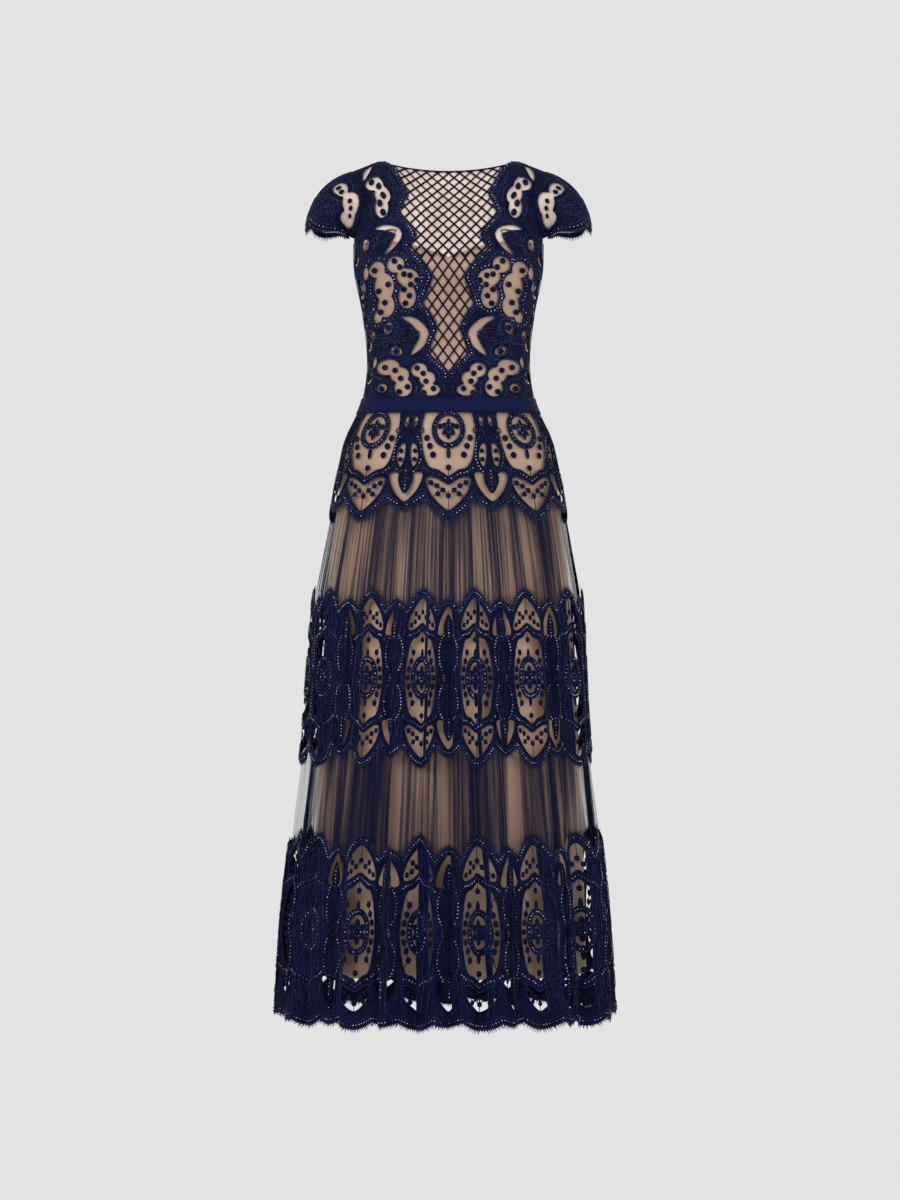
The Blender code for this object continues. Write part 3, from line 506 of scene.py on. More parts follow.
def oval(x, y, wide, tall=None, lean=0.0, points=None):
    """An oval as a closed loop, in mm."""
    tall = tall or wide
    points = points or max(8, int((wide + tall) * math.pi / 4.5))
    turn = np.arange(points) * math.tau / points
    return leaning(pairs(wide * np.cos(turn), tall * np.sin(turn)), lean) + (x, y)


def leaning(loop, lean):
    turn = math.radians(lean)
    return loop @ np.array([[math.cos(turn), math.sin(turn)], [-math.sin(turn), math.cos(turn)]])


def leaf(x, y, wide, tall, lean=0.0):
    """A leaf with two pointed ends."""
    share = np.linspace(0, 1, 9)
    side = pairs(wide * np.sin(math.pi * share) ** 0.75, tall * (2 * share - 1))
    return leaning(np.concatenate([side, (side * (-1, 1))[-2:0:-1]]), lean) + (x, y)


def leaf_cords(x, y, wide, tall, lean):
    """The cord round a leaf and the finer one within it, each with its radius in metres."""
    return (leaf(x, y, wide, tall, lean), CORD), (leaf(x, y, wide * 0.55, tall * 0.62, lean), 0.0007)


def sliver(points, wide):
    """A crescent along a smooth curve, widest at its middle and pointed at its ends."""
    line = smooth(points, 4.5, closed=False)
    along = np.gradient(line, axis=0)
    along /= np.linalg.norm(along, axis=1)[:, None]
    off = pairs(-along[:, 1], along[:, 0])
    half = wide / 2 * np.sin(math.pi * np.linspace(0, 1, len(line)))[:, None] ** 0.6
    return np.concatenate([line + off * half, (line - off * half)[-2:0:-1]])


def inside(points, loop):
    """Which points lie inside the closed loop."""
    x, y = points[:, 0, None], points[:, 1, None]
    x0, y0 = loop[:, 0], loop[:, 1]
    x1, y1 = np.roll(x0, -1), np.roll(y0, -1)
    over = (y0 > y) != (y1 > y)
    gap = np.where(y1 == y0, 1, y1 - y0)
    return (over & (x < x0 + (y - y0) / gap * (x1 - x0))).sum(1) % 2 == 1


def off_lines(points, loops, clear):
    """Which points are further than clear from every loop."""
    start = np.concatenate(loops)
    run = np.concatenate([np.roll(loop, -1, 0) - loop for loop in loops])
    long = np.maximum((run**2).sum(1), 1e-12)
    away = points[:, None] - start
    share = np.clip((away * run).sum(2) / long, 0, 1)
    return (np.linalg.norm(away - run * share[..., None], axis=2) > clear).all(1)


def cut_out(outline, layers, step):
    """A flat sheet of triangles. Each layer is a loop, and whether it is cloth (True) or a gap (False)."""
    loops = [outline, *(loop for loop, _ in layers)]
    points, edges = [], []
    for loop in loops:
        first = len(points)
        points += loop.tolist()
        edges += [(first + i, first + (i + 1) % len(loop)) for i in range(len(loop))]
    low, high = outline.min(0), outline.max(0)
    rows = np.arange(low[1], high[1], step * 0.87)
    across = np.arange(low[0], high[0], step)
    fill = np.array([(x + (i % 2) * step / 2, y) for i, y in enumerate(rows) for x in across])
    fill = fill[inside(fill, outline)]
    fill = fill[off_lines(fill, loops, step * 0.45)]
    made, _, faces, *_ = delaunay_2d_cdt([Vector(p) for p in points + fill.tolist()], edges, [], 1, 1e-5)
    made, faces = np.array(made), np.array([face for face in faces if len(face) == 3])
    corner = made[faces]
    area = np.cross(corner[:, 1] - corner[:, 0], corner[:, 2] - corner[:, 0])
    faces = np.where((area < 0)[:, None], faces[:, ::-1], faces)[np.abs(area) > 1e-4]
    middle = made[faces].mean(1)
    within = inside(middle, outline)
    cloth = within.copy()
    for loop, solid in layers:
        here = inside(middle, loop)
        cloth = (cloth | (here & within)) if solid else (cloth & ~here)
    faces = faces[cloth]
    used, place = np.unique(faces, return_inverse=True)
    return made[used], place.reshape(faces.shape)


def merged(ovals, grow, fields):
    """The outline of overlapping ovals, all grown alike, where it crosses no field: open or closed lines."""
    loops = [oval(x, y, wide + grow, tall + grow, lean, 40) for x, y, wide, tall, lean in ovals]
    gaps = [oval(x, y, wide + 0.3, tall + 0.3, lean) for group in fields for x, y, wide, tall, lean in group]
    lines = []
    for i, loop in enumerate(loops):
        free = np.ones(len(loop), bool)
        for other in loops[:i] + loops[i + 1 :] + gaps:
            free &= ~inside(loop, other)
        if free.all():
            lines.append((loop, True))
            continue
        if not free.any():
            continue
        start = next(k for k in range(len(loop)) if free[k] and not free[k - 1])
        run = []
        for k in range(start, start + len(loop) + 1):
            if free[k % len(loop)] and k < start + len(loop):
                run.append(loop[k % len(loop)])
            elif run:
                if len(run) > 2:
                    lines.append((np.array(run), False))
                run = []
    return lines


# x from the middle, z, half width, half height, lean: ovals that make up each open field, in mm
FRONT_FIELDS = (
    ((109, -53, 14, 9, 10), (97, -66, 12, 11, 0), (98, -81, 10, 13, 0)),
    ((77, -160, 13, 12, 0), (59, -179, 17, 13, 15), (60, -206, 13, 18, 0)),
    ((104, -166, 12, 12, 0), (94, -191, 15, 20, 0), (91, -219, 13, 17, 0), (103, -235, 7, 9, 0)),
    ((88, -310, 17, 12, -8), (71, -322, 14, 12, 0), (66, -341, 13, 14, 0)),
    ((43, -315, 12, 11, 0), (31, -328, 12, 11, 0), (26, -345, 14, 9, 0)),
    ((88, -252, 6.5, 9.5, 20),),
    ((76, -286, 9.5, 6.5, 25),),
    ((97, -341, 8, 7, 0),),
    ((121, -170, 5, 10, 0), (124, -190, 4, 9, 0)),
    ((111, -262, 5, 8, 0),),
    ((108, -302, 4, 9, 10),),
    ((121, -128, 6, 9, 0),),
)
FRONT_DOTS = (
    (114, -50), (103, -57), (96, -67), (101, -77), (96, -87), (79, -155), (71, -164), (65, -174),
    (56, -176), (46, -183), (55, -189), (65, -196), (57, -205), (63, -216), (108, -167), (88, -188),
    (102, -197), (93, -214), (99, -228), (93, -310), (78, -315), (70, -327), (60, -340), (72, -347),
    (46, -312), (37, -320), (33, -332), (22, -343), (88, -251), (76, -286), (36, -349), (98, -342),
)
FRONT_SLIVERS = (
    (((109, -107), (89, -106), (73, -113), (80, -130), (95, -147)), 11),
    (((69, -236), (54, -241), (43, -250), (35, -263), (42, -278), (56, -294)), 15),
    (((111, -14), (117, -22), (122, -33), (126, -46)), 11),
)
FRONT_LEAVES = (
    (96, -120, 8, 22, 60), (112, -128, 7, 18, 15), (62, -262, 9, 20, 80), (82, -258, 8, 17, 30),
    (84, -279, 8, 17, -40), (101, -268, 7, 15, 85), (120, -215, 7, 24, 0), (116, -262, 6, 20, 5),
    (120, -150, 5, 14, -20), (76, -40, 8, 24, -25),
)
# at the sides the same is given round the piece, in mm from its middle
SIDE_FIELDS = (
    ((160, -145, 9, 12, 10), (171, -160, 8, 10, 0)),
    ((158, -190, 10, 15, -10), (168, -208, 9, 11, 0)),
    ((165, -240, 8, 9, 0),),
    ((158, -272, 10, 13, 15), (170, -287, 8, 9, 0)),
    ((160, -325, 12, 9, 0), (172, -337, 8, 9, 0)),
)
SIDE_DOTS = (
    (159, -142), (171, -160), (156, -183), (159, -197), (168, -209), (165, -240), (156, -267), (170, -287),
    (157, -324), (172, -336),
)
BACK_FIELDS = (
    ((28, -57, 12, 11, 0), (45, -43, 14, 11, 20), (60, -59, 11, 15, 0)),
    ((88, -71, 14, 12, 0), (100, -87, 11, 12, 0)),
    ((34, -119, 15, 16, 0), (51, -138, 15, 12, 0)),
    ((90, -148, 14, 18, 0), (100, -175, 11, 15, 0)),
    ((36, -206, 13, 16, 0), (53, -226, 15, 14, 0), (40, -247, 13, 14, 0)),
    ((90, -234, 13, 22, 0), (99, -258, 9, 11, 0)),
    ((29, -321, 14, 12, 0), (48, -330, 15, 13, 0), (69, -322, 13, 12, 0)),
    ((95, -316, 10, 14, 0),),
    ((112, -110, 6, 9, 0),),
    ((108, -290, 5, 9, 0),),
)
BACK_DOTS = (
    (27, -57), (41, -46), (53, -44), (61, -57), (60, -69), (84, -71), (94, -75), (101, -89),
    (33, -111), (35, -127), (46, -137), (58, -139), (90, -139), (92, -153), (100, -170), (101, -184),
    (36, -197), (37, -212), (50, -224), (60, -229), (42, -243), (39, -255), (89, -220), (92, -236),
    (97, -254), (26, -321), (39, -326), (50, -333), (62, -325), (72, -320), (95, -309), (96, -323),
)
BACK_SLIVERS = (
    (((20, -83), (40, -88), (58, -98), (70, -114), (73, -134)), 10),
    (((20, -166), (42, -168), (62, -178), (71, -198)), 11),
    (((20, -284), (38, -280), (58, -272), (71, -258)), 11),
)
BACK_LEAVES = (
    (28, -98, 7, 18, 60), (50, -108, 7, 18, 25), (105, -118, 7, 18, 0), (60, -160, 7, 17, 70),
    (40, -184, 7, 16, 60), (100, -205, 6, 17, 0), (55, -290, 8, 18, 75), (82, -286, 8, 18, -20),
    (30, -296, 6, 14, 80), (105, -285, 6, 20, 0),
)


def painted_fold_shade(tree, colour, height, left):
    """Painted shade: a colour darkened from the hips down, for the full tiers, which stand in the shade of
    their own folds.
    """
    share = add_node(tree, "ShaderNodeMapRange", {"Value": height, "From Min": -0.60, "From Max": -0.68})
    painted_light_and_shade = {"Factor": share.outputs[0], "A": colour.outputs["Color"], "B": (left, left, 0.5 + 0.5 * left, 1)}
    return add_node(tree, "ShaderNodeMix", painted_light_and_shade, data_type="RGBA", blend_type="MULTIPLY").outputs["Result"]


# corded lace: matt twisted cotton and viscose, navy, with stitches about 1 mm wide. They are drawn 2.5 mm
# wide, so that they show as a broken, slightly lighter grain in the dark.
dull = {"Roughness": 0.75, "Specular IOR Level": 0.06}
lace, tree, shader, where = start_material("navy corded lace", "UV", dull)
height = add_node(tree, "ShaderNodeSeparateXYZ", {"Vector": where}).outputs["Y"]
stitches = add_node(tree, "ShaderNodeTexVoronoi", {"Vector": where, "Scale": 400.0, "Randomness": 0.9})
clouds = add_node(tree, "ShaderNodeTexNoise", {"Vector": where, "Scale": 35.0, "Detail": 3.0})
both = {0: stitches.outputs["Distance"], 1: clouds.outputs["Fac"]}
mixed = add_node(tree, "ShaderNodeMath", both, operation="MULTIPLY")
navies = (0.08, "#030416"), (0.42, "#15193A")
shade = add_node(tree, "ShaderNodeValToRGB", {"Fac": mixed.outputs[0]}, navies)
# painted shade from the hips down, standing in for the shade in the tiers' folds
tree.links.new(painted_fold_shade(tree, shade, height, 0.62), shader.inputs["Base Color"])
relief = {"Height": stitches.outputs["Distance"], "Strength": 0.6, "Distance": 0.0008}
add_node(tree, "ShaderNodeBump", relief, into=shader.inputs["Normal"])

# the cord: a firm twisted thread, a little glossier than the lace, its twist drawn 3 mm long
firm = {"Roughness": 0.55, "Specular IOR Level": 0.12}
cord_thread, tree, shader, where = start_material("navy twisted cord", "Object", firm)
height = add_node(tree, "ShaderNodeSeparateXYZ", {"Vector": where}).outputs["Z"]
twist = add_node(tree, "ShaderNodeTexNoise", {"Vector": where, "Scale": 320.0, "Detail": 1.0})
navies = (0.35, "#080A22"), (0.72, "#343C62")
shade = add_node(tree, "ShaderNodeValToRGB", {"Fac": twist.outputs["Fac"]}, navies)
# painted shade from the hips down, standing in for the shade in the tiers' folds
tree.links.new(painted_fold_shade(tree, shade, height, 0.45), shader.inputs["Base Color"])

# sequins: cups of glossy film with a dark navy back, 3 mm across in the real lace and drawn 3.6 mm; some are
# painted lighter, as painted glints
film = {"Roughness": 0.25, "Metallic": 0.4}
sequin, tree, shader, where = start_material("navy sequin film", "Object", film)
painted_glint = add_node(tree, "ShaderNodeTexNoise", {"Vector": where, "Scale": 190.0, "Detail": 0.0})
navies = (0.40, "#12163A"), (0.72, "#5A6486")
add_node(tree, "ShaderNodeValToRGB", {"Fac": painted_glint.outputs["Fac"]}, navies, shader.inputs["Base Color"])

# the bead that holds each sequin: silvery glass, about 2 mm; some are painted brighter than others, as
# painted glints
bead, tree, shader, where = start_material("silvery glass bead", "Object", {"Roughness": 0.3})
painted_glint = add_node(tree, "ShaderNodeTexNoise", {"Vector": where, "Scale": 120.0, "Detail": 0.0})
silvers = (0.48, "#3A4366"), (0.64, "#C6CCDA")
add_node(tree, "ShaderNodeValToRGB", {"Fac": painted_glint.outputs["Fac"]}, silvers, shader.inputs["Base Color"])


def front_edge(inset=0.0):
    """The scalloped edge from the neckline down, from the middle in metres."""
    edge = []
    for (_, x0, b0), (kind, x1, b1) in zip(FRONT_EDGE, FRONT_EDGE[1:]):
        bow = 0.004 if kind == "tip" else -0.001
        share = np.linspace(0, 1, max(2, round((b0 - b1) / 0.0035)) + 1)[:-1]
        x = x0 + (x1 - x0) * share - 4 * bow * share * (1 - share) - inset
        edge.append(pairs(x, b0 + (b1 - b0) * share))
    _, x, b = FRONT_EDGE[-1]
    return np.concatenate([*edge, [(x - inset, b + inset)]])


def laid(loop, face):
    """A loop in mm from the middle, as mm on the flat piece."""
    loop = np.asarray(loop, float)
    return pairs(across_at(loop[:, 0] / 1000, loop[:, 1] / 1000, face) * 1000, loop[:, 1])


def couched(raised, surface, lift, mirror=False):
    """The cords of a piece, each given by its line, its radius, and whether it is closed."""
    cords = Threads(surface, lift, mirror)
    for line, radius, closed in raised:
        cords.cord(line, radius, closed)
    return cords


def spangled(places, sides, rng, surface, lift, mirror=False):
    """Sequins at the places, and the bead on each of them."""
    sequins, beads = Threads(surface, lift, mirror), Threads(surface, lift, mirror)
    sequins.domes(places, *SEQUIN, sides, rng)
    beads.domes(places, *BEAD, sides - 2, rng)
    return {"sequins": sequins, "beads": beads}


def trimmings(name, **threads):
    """What is sewn on a piece of lace, each kind as one piece."""
    made_of = {"cords": cord_thread, "lashes": cord_thread, "sequins": sequin, "beads": bead}
    return [made.piece(f"{name}_{kind}", made_of[kind], "lace") for kind, made in threads.items()]


seam = np.linspace(WAIST_SEAM, NECKLINE, 50) * 1000
for half, face, surface, fields, dots, slivers, leaves, area, sides in (
    ("front", -1, front, FRONT_FIELDS, FRONT_DOTS, FRONT_SLIVERS, FRONT_LEAVES, 0.0430, ("left", "right")),
    ("back", 1, back, BACK_FIELDS, BACK_DOTS, BACK_SLIVERS, BACK_LEAVES, 0.0550, ("right", "left")),
):
    if face < 0:
        below = pairs(0.15, np.linspace(-319.0, WAIST_SEAM * 1000, 8))
        inner = laid(np.concatenate([front_edge() * 1000, below]), face)
    else:
        inner = laid(pairs(0.6, seam[::-1]), face)
    top_a = np.arange(SIDE * 1000 - 7, inner[0, 0] + 3, -7)
    low_a = np.arange(inner[-1, 0] + 7, SIDE * 1000 - 3, 7)
    top, bottom = pairs(top_a, NECKLINE * 1000), pairs(low_a, WAIST_SEAM * 1000)
    outline = np.concatenate([pairs(SIDE * 1000, seam), top, inner, bottom])
    layers = [(laid(oval(*part), face), False) for group in fields for part in group]
    layers += [(oval(*part), False) for group in SIDE_FIELDS for part in group]
    layers += [(oval(a, z, 3.8, 4.0), True) for a, z in SIDE_DOTS]
    layers += [(laid(sliver(*row), face), False) for row in slivers]
    layers += [(laid(oval(x, z, 4.2, 4.4), face), True) for x, z in dots]
    flat, faces = cut_out(outline, layers, 8.0)

    raised = []
    for group in (*fields, *SIDE_FIELDS):
        own = fields if group in fields else SIDE_FIELDS
        for grow, radius in ((0.4, CORD), (6.5, 0.0008)):
            for line, closed in merged(group, grow, own):
                line = spaced(np.concatenate([line, line[:1]]) if closed else line, 3.5, closed)
                line = (laid(line, face) if group in fields else line) / 1000
                if np.abs(line[:, 0]).max() < SIDE - 0.002 and line[:, 1].min() > WAIST_SEAM + 0.001:
                    raised.append((line, radius, closed))
    if face < 0:
        raised.append((pairs(QUARTER, np.linspace(WAIST_SEAM + 0.001, UNDERARM, 40)), 0.0011, False))
    raised += [(laid(sliver(*row), face) / 1000, CORD, True) for row in slivers]
    for row in leaves:
        found = [(laid(loop, face) / 1000, radius, True) for loop, radius in leaf_cords(*row)]
        if found[0][0][:, 0].max() < SIDE - 0.001:
            raised += found
    places = []
    if face < 0:
        rail = inner[:-6] / 1000 + (0.0052, 0)
        raised += [(spaced(rail, 0.004) + (off, 0), 0.0009, False) for off in (0.0045, -0.0046)]
        places.append(spaced(rail, 0.0052))
    for group in fields[1:3] if face < 0 else fields[:5:2]:
        places += [laid(spaced(line, 5.2), face) / 1000 for line, _ in merged(group, 3.8, fields)]
    places = np.concatenate(places)
    places = places[places[:, 1] > WAIST_SEAM + 0.016]

    for which, mirror in zip(sides, (False, True)):
        name, replaced = f"bodice_lace_{half}_{which}", [f"lace_bodice_{half}_{which}"]
        sheet = cloth(name, replaced, "lace", lace, surface, flat / 1000, faces, LACE_LIFT, mirror=mirror)
        rng = np.random.default_rng(11 + face)
        threads = {"cords": couched(raised, surface, LACE_LIFT, mirror)}
        threads |= spangled(places, 7, rng, surface, LACE_LIFT, mirror)
        if face < 0:
            threads["lashes"] = Threads(surface, LACE_LIFT, mirror)
            threads["lashes"].lashes(spaced(inner[:-8] / 1000, 0.0022), 0.0034, rng)
        trimmings(name, **threads)

# -------------------------------------------------------------------------------------- diamond net
# Open net of navy cord between the two scalloped edges, over the pale mesh and the lining. Its cords cross
# in diamonds 16 mm wide, taller below the bust, and its edges run in under the lace.
NET_HALF, NET_STRAND = 8.1, 2.3
right_edge = laid(front_edge(-0.0030) * 1000, -1)
top_a = np.arange(right_edge[0, 0] - 6, -right_edge[0, 0] + 3, -6)
outline = np.concatenate([right_edge[::-1], pairs(top_a, NECKLINE * 1000), right_edge[:-1] * (-1, 1)])
layers, height, row = [], NECKLINE * 1000 + 12.6, -2
while height > -317:
    tall = 8.3 if height > -138 else 11.2
    height -= tall
    shrunk = 1 - NET_STRAND / 2 * math.hypot(NET_HALF, tall) / (NET_HALF * tall)
    for i in range(-7, 8):
        x = (2 * i + row % 2) * NET_HALF
        corners = [(NET_HALF * shrunk, 0), (0, tall * shrunk), (-NET_HALF * shrunk, 0), (0, -tall * shrunk)]
        ring = laid([(x + u, min(height + v, NECKLINE * 1000 - 1.2)) for u, v in corners], -1)
        if inside(ring, outline).any():
            layers.append((ring, False))
    row += 1
flat, faces = cut_out(outline, layers, 9.0)

# the net's cord: matt viscose, nearly black where it is thin against the pale mesh
dull = {"Roughness": 0.8, "Specular IOR Level": 0.06}
net_cord, tree, shader, where = start_material("matt viscose net cord", "Object", dull)
fuzz = add_node(tree, "ShaderNodeTexNoise", {"Vector": where, "Scale": 400.0, "Detail": 1.0})
blacks = (0.0, "#08061A"), (1.0, "#15112C")
add_node(tree, "ShaderNodeValToRGB", {"Fac": fuzz.outputs["Fac"]}, blacks, shader.inputs["Base Color"])
relief = {"Height": fuzz.outputs["Fac"], "Strength": 0.5, "Distance": 0.0004}
add_node(tree, "ShaderNodeBump", relief, into=shader.inputs["Normal"])

net = cloth("diamond_net", ["net_front"], "net", net_cord, front, flat / 1000, faces, 0.0021, 0.0009)

# -------------------------------------------------------------------------------------- cap sleeves
# Short caps of the pale mesh under lace, sewn into the armholes from front to back and open below. The lace
# has a dotted field and small ovals, and a scalloped edge with lashes.
SLEEVE_DOWN, CAP_LIFT = 70.0, 0.0041


def sleeve(around, down):
    """The cap sleeve of the wearer's left, in metres round it from the shoulder and down from the armhole."""
    way, share = around / 0.100, -down / (SLEEVE_DOWN / 1000)
    height = UNDERARM + RISE * (1 - np.abs(way))
    ones = np.ones_like(way)
    start = np.where((way < 0)[:, None], bodice(ones, height, -1), bodice(-ones, height, 1))
    out = np.cos(math.pi / 2 * way)
    edge_x, edge_y = 0.1425 + 0.068 * out, 0.056 * np.sin(math.pi * way)
    edge = np.stack([edge_x, edge_y, -0.1040 - 0.0110 * (1 - out)], 1)
    leave = np.stack([0.075 * out + 0.02, 0.55 * (edge_y - start[:, 1]), -0.024 * out], 1)
    arrive = np.stack([0.004 * ones, 0 * ones, -0.045 - 0.085 * out], 1)
    return hermite(start, leave, edge, arrive, share[:, None])


# as for the bodice, but x in mm round the armhole from the shoulder, and y down from it
SLEEVE_FIELDS = (
    ((-33, -24, 13, 6.5, 0),),
    ((-57, -19, 14, 11, 0), (-72, -27, 11, 15, 0)),
    ((33, -24, 13, 6.5, 0),),
    ((57, -19, 14, 11, 0), (72, -27, 11, 15, 0)),
)
SLEEVE_DOTS = (
    (-38, -25), (-30, -25), (-53, -20), (-61, -20), (-69, -22),
    (38, -25), (30, -25), (53, -20), (61, -20), (69, -22),
)
SLEEVE_LEAVES = (
    (-12, -30, 7, 17, 10), (-22, -48, 6, 14, 40), (12, -30, 7, 17, -10), (22, -48, 6, 14, -40),
    (0, -52, 6, 12, 0), (-45, -48, 6, 12, 60), (45, -48, 6, 12, -60),
)
around, down = np.linspace(-90, 90, 73), np.linspace(-60, -8, 9)
edge = pairs(around, 5.5 - 5.5 * np.abs(np.cos(math.pi * 3.5 * around / 180)) - SLEEVE_DOWN)
armhole = pairs(np.linspace(90, -90, 31), -0.6)
outline = np.concatenate([edge, pairs(90.0, down), armhole, pairs(-90.0, down[::-1])])
layers = [(oval(*part), False) for group in SLEEVE_FIELDS for part in group]
layers += [(oval(x, y, 2.9), True) for x, y in SLEEVE_DOTS]
plain, plain_faces = cut_out(outline + np.where(outline[:, 1:] < -62, (0, 5.5), (0, 0)), [], 8.0)
flat, faces = cut_out(outline, layers, 7.5)

raised = []
for group in SLEEVE_FIELDS:
    for grow, radius in ((0.4, CORD), (5.5, 0.0008)):
        for line, closed in merged(group, grow, SLEEVE_FIELDS):
            line = spaced(line, 3.5) / 1000
            if line[:, 1].max() < -0.009 and np.abs(line[:, 0]).max() < 0.088:
                raised.append((line, radius, closed))
raised += [(loop / 1000, radius, True) for row in SLEEVE_LEAVES for loop, radius in leaf_cords(*row)]
rail = spaced(edge, 4.0) / 1000
raised += [(rail + (0, 0.0012), CORD, False), (rail + (0, 0.0085), 0.0009, False)]
for which, mirror in (("left", False), ("right", True)):
    name, under, replaced = f"sleeve_cap_{which}", f"sleeve_lining_{which}", [f"sleeve_mesh_{which}"]
    lining = cloth(under, replaced, "mesh", mesh_cloth, sleeve, plain / 1000, plain_faces, mirror=mirror)
    replaced = [f"sleeve_lace_{which}"]
    cap = cloth(name, replaced, "lace", lace, sleeve, flat / 1000, faces, CAP_LIFT, mirror=mirror)
    rng = np.random.default_rng(31)
    lashes = Threads(sleeve, CAP_LIFT, mirror)
    lashes.lashes(spaced(edge, 2.4)[1:-1] / 1000, 0.0040, rng)
    spangles = spangled(spaced(edge, 5.4)[1:-1] / 1000 + (0, 0.0050), 7, rng, sleeve, CAP_LIFT, mirror)
    sewn = trimmings(name, cords=couched(raised, sleeve, CAP_LIFT, mirror), lashes=lashes, **spangles)

# ------------------------------------------------------------------------------------- waist ribbon
# A band of plain matt grosgrain, 24 mm wide, stitched round the waist over the lace, with its ends meeting
# at centre back.


def body_round(a, b):
    return body(a / GIRTH, b)


dull = {"Roughness": 0.7, "Specular IOR Level": 0.06}
grosgrain, tree, shader, where = start_material("navy grosgrain", "UV", dull)
# upright ribs, 0.5 mm apart in such ribbon, drawn 1.6 mm apart
waves = {"Vector": where, "Scale": 98.0, "Distortion": 0.3}
ribs = add_node(tree, "ShaderNodeTexWave", waves, bands_direction="X")
navies = (0.0, "#0A1030"), (1.0, "#0F173B")
add_node(tree, "ShaderNodeValToRGB", {"Fac": ribs.outputs["Fac"]}, navies, shader.inputs["Base Color"])
relief = {"Height": ribs.outputs["Fac"], "Strength": 0.25, "Distance": 0.0003}
add_node(tree, "ShaderNodeBump", relief, into=shader.inputs["Normal"])

RIBBON_LOW, RIBBON_HIGH = -0.3790, -0.3555
end = math.pi * GIRTH - 0.0010
flat, faces = grid(level(RIBBON_LOW), level(RIBBON_HIGH), level(-end), level(end), 121, 5)
ribbon = cloth("waist_band", ["waist_ribbon"], "ribbon", grosgrain, body_round, flat, faces, 0.0061, 0.0012)

# --------------------------------------------------------------------------------------- lace tiers
# The hip tier hangs from the waist seam, and two bands with both edges scalloped are sewn between the tiers
# of tulle, the hem band over large folds. All are one lace edging: wide and narrow scallops, dots in open
# fields, rings, petals and buds between sequinned rails. Where a band is gathered, cloth is folded over its
# pattern. Its open fields are real gaps, with the dots held by fine bars.
# level sections: height, half width, and depth in front and behind
SKIRT = (
    ("top of the tulle", -0.4800, 0.1705, 0.1215, 0.1335),
    ("seat", -0.5100, 0.1750, 0.1255, 0.1385),
    ("tips of the hip lace", -0.5355, 0.1810, 0.1295, 0.1430),
    ("upper tulle", -0.5655, 0.1865, 0.1335, 0.1470),
    ("upper tulle, low", -0.6000, 0.1930, 0.1380, 0.1515),
    ("middle lace, top", -0.6600, 0.2035, 0.1455, 0.1595),
    ("middle lace", -0.7700, 0.2100, 0.1595, 0.1735),
    ("middle lace, low", -0.9000, 0.2175, 0.1755, 0.1895),
    ("lower tulle", -0.9900, 0.2270, 0.1875, 0.2015),
    ("hem lace", -1.1200, 0.2400, 0.2030, 0.2170),
    ("hem", -1.2900, 0.2500, 0.2190, 0.2340),
)
# the large folds: height, and how deep they are there
FOLD_DEPTH = (
    ("hip", -0.4800, 0.0000),
    ("top of the middle lace", -0.6400, 0.0020),
    ("middle lace", -0.7700, 0.0045),
    ("end of the middle lace", -0.9000, 0.0075),
    ("lower tulle", -1.0300, 0.0105),
    ("hem", -1.2900, 0.0135),
)
# turn in degrees from centre front, width in degrees, depth in mm: narrow creases between the large folds
CREASES = (
    (-79, 2.2, 4.0), (-61, 1.5, 3.0), (-43, 2.6, 5.0), (-27, 1.4, 4.0), (-13, 2.0, 5.5), (2, 1.6, 3.5),
    (12, 1.5, 5.0), (26, 2.8, 5.0), (47, 1.5, 3.0), (58, 2.4, 5.5), (77, 1.8, 3.5), (96, 2.4, 5.0),
    (118, 1.6, 3.5), (131, 2.8, 5.0), (155, 1.8, 4.0), (171, 2.2, 5.5), (190, 1.6, 3.0), (208, 2.6, 5.0),
    (229, 1.5, 4.0), (246, 2.4, 5.5), (263, 1.8, 3.5),
)


def skirt(turn, z, out=0.0):
    """The skirt over its large folds and its creases."""
    phase = 15 * (turn + 0.10 * np.sin(2 * turn + 0.6) + 0.05 * np.sin(5 * turn + 2.0))
    fold = (0.78 + 0.22 * np.sin(3 * turn + 1.0)) * (np.cos(phase) + 0.2 * np.cos(2 * phase))
    out = out + table_at(FOLD_DEPTH, z)[0] * fold
    grow = 1.25 * np.clip((-0.60 - z) / 0.25, 0, 1) + 0.85 * np.clip((-0.92 - z) / 0.25, 0, 1)
    for at, wide, deep in CREASES:
        away = (np.degrees(turn) - at + 180) % 360 - 180
        out = out - grow * deep / 1000 * np.exp(-((away / wide) ** 2))
    half, front_depth, back_depth = table_at(SKIRT, z)
    return section(turn, half + out, front_depth + out, back_depth + out, z)


def skirt_round(a, b):
    return skirt(a / GIRTH, b)


HIP_LIFT = 0.0041  # how far out the hip lace lies on the slip
LEAVES_SLIP, OFF_SLIP = -0.420, -0.498


def hip_round(a, b):
    """The hip lace lies on the slip and leaves it where the tulle begins."""
    turn = a / GIRTH
    share = np.clip((b - LEAVES_SLIP) / (OFF_SLIP - LEAVES_SLIP), 0, 1)[:, None]
    on_slip = body(turn, b)
    level_way = on_slip * (1, 1, 0)
    on_slip = on_slip + level_way / np.linalg.norm(level_way, axis=1)[:, None] * HIP_LIFT
    return on_slip + (skirt(turn, b) - on_slip) * share**2 * (3 - 2 * share)


# the edging, in mm: x from the middle of the wide scallop, q down from the midline of the lace
REPEAT, HALF_LACE = 132.0, 135.0
PULL = 0.80  # a gathered band's open fields are this much narrower
# each tier: the height of the edging's midline, how far its tips are from it, and its repeats all round
TIERS = {"hip": (-0.4030, 0.1350, 7), "middle": (-0.7695, 0.1316, 14), "hem": (-1.1405, 0.1420, 15)}


def both_sides(points):
    """The right half of a shape, from top to bottom, and its mirror image."""
    return [*points, *((-x, q) for x, q in reversed(points) if x)]


def scallop(p):
    """How far down the edging reaches, p in repeats from the tip of a wide scallop."""
    p = np.abs((p + 0.5) % 1 - 0.5)
    wide = 104 + 31 * (1 - np.minimum(p / 0.28, 1) ** 1.7)
    narrow = 104 + 15 * (1 - np.clip((0.5 - p) / 0.22, 0, 1) ** 1.7)
    return np.where(p < 0.28, wide, narrow)


